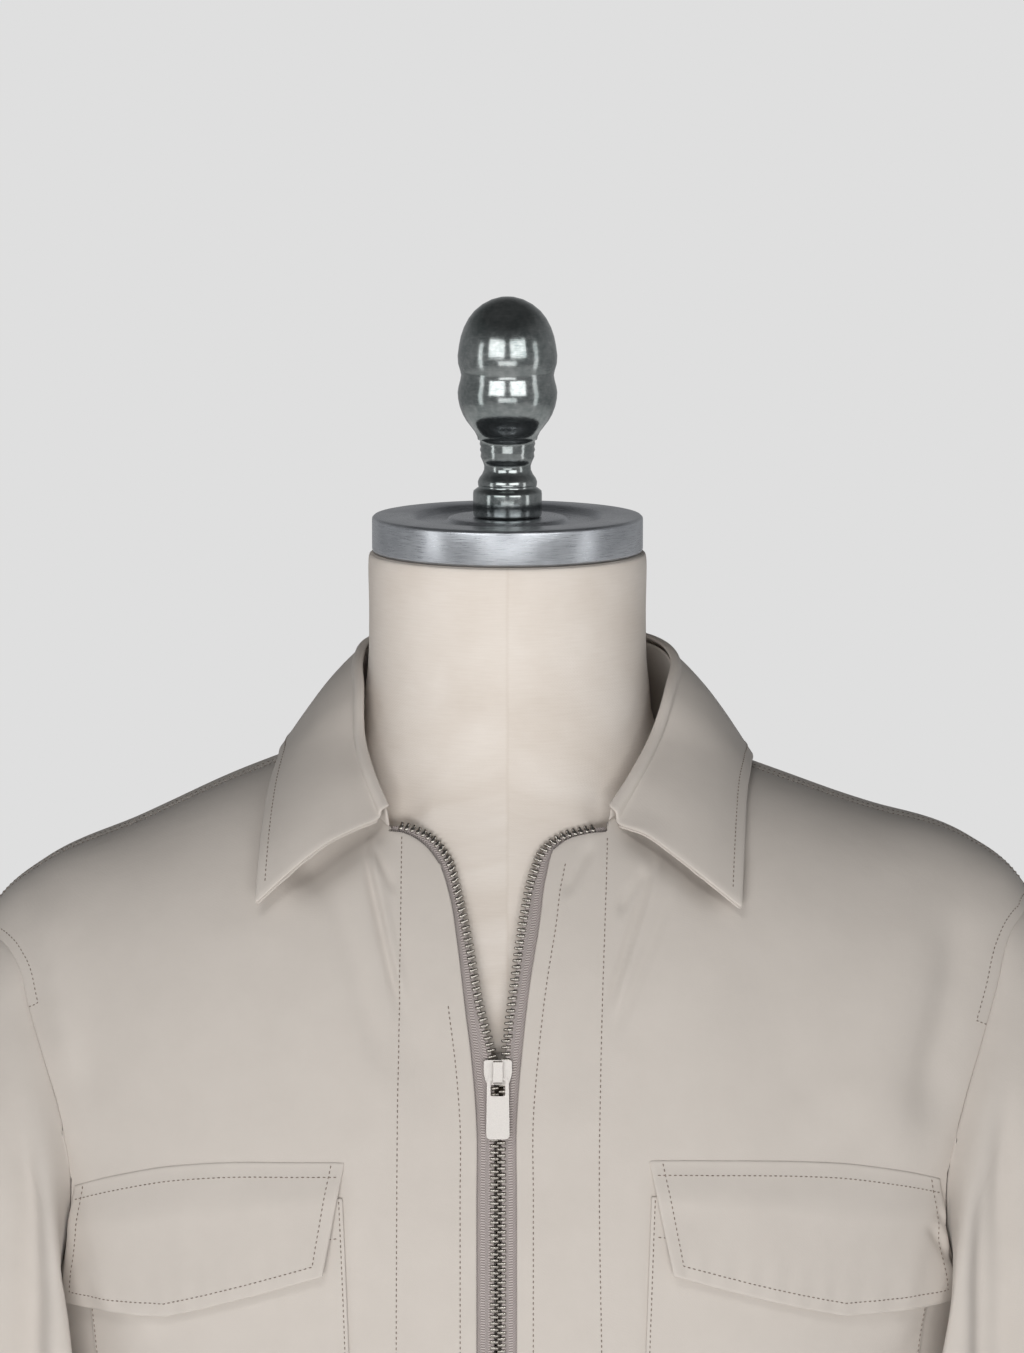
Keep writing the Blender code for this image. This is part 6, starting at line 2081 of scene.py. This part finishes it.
# ---------------------------------------------------------------- the dress form
@dataclass
class DressForm:
    """The linen torso and its cap, finial, flange, pole and base."""

    surface: BodySurface
    looks: Wardrobe
    sides: int = 128
    saddle: float = 1.7
    seat: float = 0.0008
    form_clear: float = 0.0052
    hollow: float = 0.0060
    seat_width: float = 0.012
    neck_radius: float = 0.066
    neck_fade: float = 0.010
    opening: float = 0.030          # half the collar's opening, and the width over which it closes
    opening_fade: float = 0.015
    side_blend: float = 0.12        # the cosine at which the front's drops end
    probe: float = 0.001
    steps: int = 96
    pole_radius: float = 0.0140
    flange_radius: float = 0.0550
    flange_height: float = 0.0100
    base_radius: float = 0.1900
    base_height: float = 0.0120
    hub_height: float = 0.0220
    hub_wall: float = 0.012
    fillet: float = 0.004
    flange_wall: float = 0.008
    flange_round: float = 0.0012
    pole_round: float = 0.0008
    base_round: float = 0.0015

    def turned(self, name: str, profile: Array | tuple, height: float, node: str,
               material: bpy.types.Material, round_off: float = 0.0) -> bpy.types.Object:
        """Turn a profile about the axis.

        Formula: the point (radius, height) of the profile goes to radius times the cosine
        and sine of the turn; the rows at both ends lie on the axis and are merged there.

        Args:
            name: its name.
            profile: (radius, height) points.
            height: where the profile stands.
            node: the solid it replaces.
            material: its material.
            round_off: the radius of its corners.

        Returns:
            The object.
        """
        outline = np.array(profile, float)
        if round_off:
            outline = round_corners(outline, round_off)
        turn = np.arange(self.steps) * math.tau / self.steps
        points = np.stack([outline[:, :1] * np.cos(turn), outline[:, :1] * np.sin(turn),
                           np.broadcast_to(outline[:, 1:] + height, (len(outline), self.steps))], axis=-1)
        thing = make_mesh(name, points.reshape(-1, 3), quads_of(len(outline), self.steps, True))
        remade(thing.data, thing.data, WELD)
        thing.data.shade_smooth()
        return dress(thing, material, (node,))

    def torso(self) -> None:
        """Make the linen torso.

        Formula: each ring is an oval |sin|^(2/n), |cos|^(2/n), whose drop blends from the
        side's to the front's or back's by |sin|^saddle; it is then lowered under the cloth.
        """
        turn = np.arange(self.sides) * math.tau / self.sides
        sine, cosine = np.sin(turn), np.cos(turn)
        rings = refine(FORM_RINGS.rows, 6, smooth=True)[:, :, None]
        half, side_drop, front, front_drop, back, back_drop, square = (rings[:, k] for k in range(7))
        forward = smoothstep((cosine + self.side_blend) / (2.0 * self.side_blend))
        deep = back + (front - back) * np.where(cosine > 0.0, 1.0, 0.0)
        face_drop = back_drop + (front_drop - back_drop) * forward
        share = np.abs(sine) ** self.saddle
        x = half * np.sign(sine) * np.abs(sine) ** (2.0 / square)
        y = -deep * np.sign(cosine) * np.abs(cosine) ** (2.0 / square)
        z = -(side_drop * share + face_drop * (1.0 - share))
        cover = self.surface.height_over(x, y)[0]
        ahead, behind = (self.surface.shoulder_drop(x + step) for step in (self.probe, -self.probe))
        slope = (ahead - behind) / (2.0 * self.probe)
        gap = (WALL + self.seat) * np.hypot(1.0, slope) + self.form_clear * smoothstep(np.abs(y) / self.seat_width)
        gap = gap + self.hollow * smoothstep((-y - self.seat_width) / self.seat_width)
        covered = smoothstep((np.hypot(x, y) - self.neck_radius) / self.neck_fade)
        covered = covered * np.where(y < 0.0, smoothstep((np.abs(x) - self.opening) / self.opening_fade), 1.0)
        z = z - covered * np.maximum(z - (cover - gap), 0.0)
        points = np.stack([x, y, z], axis=-1)
        top, bottom = points[:1].mean(axis=1, keepdims=True), points[-1:].mean(axis=1, keepdims=True)
        closed = np.concatenate([np.broadcast_to(top, points[:1].shape), points,
                                 np.broadcast_to(bottom, points[:1].shape)])
        chart = Sheet(points, closed=True).chart()
        chart = np.concatenate([chart[:1], chart, chart[-1:]])
        rows, columns = closed.shape[:2]
        flat = chart.reshape(-1, 2)[quads_of(rows, columns + 1, False)]
        thing = make_mesh("form_torso_linen", closed.reshape(-1, 3) + np.array([0.0, 0.0, NECK_TOP]),
                          quads_of(rows, columns, True), flat)
        remade(thing.data, thing.data, WELD)
        thing.data.shade_smooth()
        dress(thing, self.looks.linen, ("form_torso",))

    def build(self) -> None:
        """Make the torso and the turned metal."""
        self.torso()
        looks = self.looks
        self.turned("form_cap_turned", CAP.rows, NECK_TOP, "form_cap", looks.aluminium)
        cap_top = NECK_TOP + CAP["height"][0] + SEAM_GAP
        self.turned("form_finial_cast", FINIAL.rows, cap_top, "form_finial", looks.iron)
        foot = NECK_TOP - FORM_RINGS["side_drop"][-1] - SEAM_GAP
        flange = ((0.0, 0.0), (self.flange_radius, 0.0), (self.flange_radius, -self.flange_height * 0.4),
                  (self.pole_radius + self.flange_wall, -self.flange_height), (0.0, -self.flange_height))
        self.turned("form_flange_turned", flange, foot, "form_flange", looks.aluminium,
                    self.flange_round)
        hub_top = self.base_height + self.hub_height
        pole_top = foot - self.flange_height - SEAM_GAP
        pole = ((0.0, pole_top), (self.pole_radius, pole_top), (self.pole_radius, hub_top + SEAM_GAP),
                (0.0, hub_top + SEAM_GAP))
        self.turned("form_pole_turned", pole, 0.0, "form_pole", looks.aluminium, self.pole_round)
        hub, fillet = self.pole_radius + self.hub_wall, self.fillet
        radius, height = self.base_radius, self.base_height
        base = ((0.0, hub_top), (hub - fillet, hub_top), (hub, hub_top - fillet), (hub, height + fillet),
                (hub + fillet, height), (radius * 0.9, height - 0.002), (radius - fillet, height - 0.005),
                (radius, height - 0.009), (radius, 0.0), (0.0, 0.0))
        self.turned("form_base_cast", base, 0.0, "form_base", looks.iron, self.base_round)


def round_corners(outline: Array, radius: float, steps: int = 4, most: float = 0.45) -> Array:
    """Round the corners of an open outline.

    Formula: each inner corner gives way to the curve (1-t)^2 a + 2t(1-t) c + t^2 b, where a
    and b lie the radius away from the corner c, or less where its neighbour is near.

    Args:
        outline: the outline.
        radius: how far from a corner it starts to turn.
        steps: steps of a turn.
        most: the share of the way to a neighbour that a turn may take.

    Returns:
        The rounded outline.
    """
    corner, before, after = outline[1:-1], outline[:-2], outline[2:]
    back, ahead = before - corner, after - corner
    near = np.minimum(radius, most * np.linalg.norm(back, axis=-1, keepdims=True))
    far = np.minimum(radius, most * np.linalg.norm(ahead, axis=-1, keepdims=True))
    start, end = corner + unit(back) * near, corner + unit(ahead) * far
    t = (np.arange(steps + 1) / steps)[None, :, None]
    arcs = (1 - t)**2 * start[:, None] + 2 * t * (1 - t) * corner[:, None] + t**2 * end[:, None]
    return np.vstack([outline[:1], arcs.reshape(-1, 2), outline[-1:]])


# ---------------------------------------------------------------- the studio
Triple = tuple[float, float, float]


class Reach(Enum):
    """What a lamp lights."""

    ALL = "cloth and shine"
    CLOTH = "cloth alone"
    SHINE = "shine alone"
    FLOOR = "the floor alone"


def aimed(name: str, data: bpy.types.ID, place: Triple, aim: Triple) -> bpy.types.Object:
    """Put a lamp or the camera into the scene.

    Args:
        name: its name.
        data: the lamp or the camera.
        place: where it stands.
        aim: the point that it faces.

    Returns:
        The object.
    """
    thing = stand(name, data)
    thing.location = place
    thing.rotation_euler = (Vector(aim) - Vector(place)).to_track_quat("-Z", "Y").to_euler()
    return thing


@dataclass(frozen=True)
class Softbox:
    """A rectangular lamp: place, aim, width and height in metres, power in watts."""

    name: str
    place: Triple
    aim: Triple
    size: tuple[float, float]
    watts: float
    reach: Reach = Reach.ALL

    def hang(self, floor: bpy.types.Object) -> None:
        """Hang the lamp; only a floor lamp lights the floor, and it lights nothing else.

        Args:
            floor: the floor.
        """
        lamp = bpy.data.lights.new(self.name, "AREA")
        lamp.shape = "RECTANGLE"
        lamp.size, lamp.size_y = self.size
        lamp.energy = self.watts
        thing = aimed(self.name, lamp, self.place, self.aim)
        thing.visible_camera = False
        thing.visible_diffuse = self.reach is not Reach.SHINE
        thing.visible_glossy = self.reach in (Reach.ALL, Reach.SHINE)
        group = bpy.data.collections.new(self.name)
        group.objects.link(floor)
        group.collection_objects[0].light_linking.link_state = "INCLUDE" if self.reach is Reach.FLOOR else "EXCLUDE"
        thing.light_linking.receiver_collection = group


# The light from low in front and the pale floor's bounce leave the collar and the shoulders darker
# than the chest. The small high lamp casts the shadow under the collar leaf. The cards beside the
# camera give the finial and the cap their pairs of highlights, and the low one shines on the zip.
LAMPS = (
    Softbox("front_softbox", (-0.12, -3.4, 0.42), (0.0, 0.0, 0.85), (2.6, 0.8), 80.0, Reach.CLOTH),
    Softbox("back_softbox", (0.30, 3.4, 0.42), (0.0, 0.0, 0.80), (2.6, 0.8), 50.0, Reach.CLOTH),
    Softbox("high_softbox", (-0.35, -1.5, 2.3), (0.0, 0.0, 0.92), (0.7, 0.4), 7.5, Reach.CLOTH),
    Softbox("left_strip", (-2.0, -0.9, 1.0), (0.0, 0.0, 0.95), (0.4, 1.6), 4.0),
    Softbox("right_strip", (2.0, -0.7, 1.0), (0.0, 0.0, 0.95), (0.4, 1.6), 3.0),
    Softbox("left_card", (-1.02, -2.1, 1.70), (0.0, 0.0, 1.15), (1.60, 1.0), 15.0, Reach.SHINE),
    Softbox("right_card", (1.02, -2.1, 1.70), (0.0, 0.0, 1.15), (1.60, 1.0), 15.0, Reach.SHINE),
    Softbox("low_card", (0.0, -3.4, 0.42), (0.0, 0.0, 0.85), (2.6, 0.8), 12.0, Reach.SHINE),
    Softbox("floor_lamp", (0.0, 0.0, 3.0), (0.0, 0.0, 0.0), (6.0, 6.0), 200.0, Reach.FLOOR),
)


@dataclass
class Studio:
    """Floor, soft lights, pale background and the camera at the photograph's angle."""

    target: Triple = (0.00198, 0.0, NECK_TOP - 0.0558089)
    place: Triple = (0.00198, -2.57276705, NECK_TOP + 0.319517218)
    film: float = 36.0
    lens: float = 36.0 * 5909.09 / 1353.0   # the film by the focal length over the height, in pixels
    background: str = "#DFDFDF"
    room: str = "#EFF3F6"
    room_light: float = 0.09
    walls: str = "#F8F9FB"
    floor_size: float = 6.0
    floor_drop: float = 0.0005
    floor_light: str = "#E0E0E0"
    floor_dark: str = "#DCDCDC"

    def sky(self) -> None:
        """Make the background: a pale tone for the camera, a dim room for cloth, walls for metal."""
        world = bpy.data.worlds.new("studio")
        bpy.context.scene.world = world
        world.use_nodes = True
        tree = world.node_tree
        shown = tree.nodes["Background"]
        shown.inputs["Color"].default_value = linear(self.background)
        room = add(tree, "Background", linear(self.room), Strength=self.room_light)
        upward = add(tree, "SeparateXYZ", add(tree, "TexCoord", out="Generated"), out="Z")
        glow = add(tree, "MapRange", upward, From_Min=0.15, From_Max=0.75, To_Min=0.36, To_Max=0.10)
        walls = add(tree, "Background", linear(self.walls), Strength=glow)
        rays = add(tree, "LightPath").node.outputs
        lit = add(tree, "MixShader", rays["Is Glossy Ray"], room, walls)
        mix = add(tree, "MixShader", rays["Is Camera Ray"], lit, shown.outputs[0])
        tree.links.new(mix, tree.nodes["World Output"].inputs["Surface"])

    def floor(self) -> bpy.types.Object:
        """Lay a plain pale floor.

        Returns:
            The floor.
        """
        half = self.floor_size / 2.0
        corners = np.array([[-half, -half, 0.0], [half, -half, 0.0], [half, half, 0.0], [-half, half, 0.0]])
        thing = make_mesh("floor", corners - np.array([0.0, 0.0, self.floor_drop]), np.array([[0, 1, 2, 3]]))
        material, tree, shader = blank("matt_paper", Roughness=0.9)
        noise = add(tree, "TexNoise", add(tree, "TexCoord", out="Object"), Scale=3.0)
        stops = ((0.0, self.floor_dark), (1.0, self.floor_light))
        fill(shader, {"Base Color": add(tree, "ValToRGB", noise, stops=stops)})
        thing.data.materials.append(material)
        return thing

    def build(self) -> None:
        """Set up the floor, the lamps, the background and the camera."""
        floor = self.floor()
        self.sky()
        for lamp in LAMPS:
            lamp.hang(floor)
        camera = bpy.data.cameras.new("camera")
        camera.lens = self.lens
        camera.sensor_width = self.film
        bpy.context.scene.camera = aimed("camera", camera, self.place, self.target)
        bpy.context.scene.view_settings.view_transform = "Standard"


def main() -> None:
    """Build the dressed form in order and note its size."""
    logging.basicConfig(level=logging.INFO, format="%(name)s: %(message)s")
    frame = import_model()
    looks = Wardrobe.make()
    surface = BodySurface()
    lines = {Side.LEFT: ZipLine(Side.LEFT, ZIP_LEFT_HAND, surface),
             Side.RIGHT: ZipLine(Side.RIGHT, ZIP_RIGHT_HAND, surface)}
    Studio().build()
    DressForm(surface, looks).build()
    panels = Panels(surface, looks, lines)
    panels.build()
    Sleeves(surface, looks, panels).build()
    ShirtCollar(surface, looks).build()
    ChestPockets(surface, looks).build()
    ZipFastener(surface, looks, lines, frame["nodes"]).build()


if __name__ == "__main__":
    main()
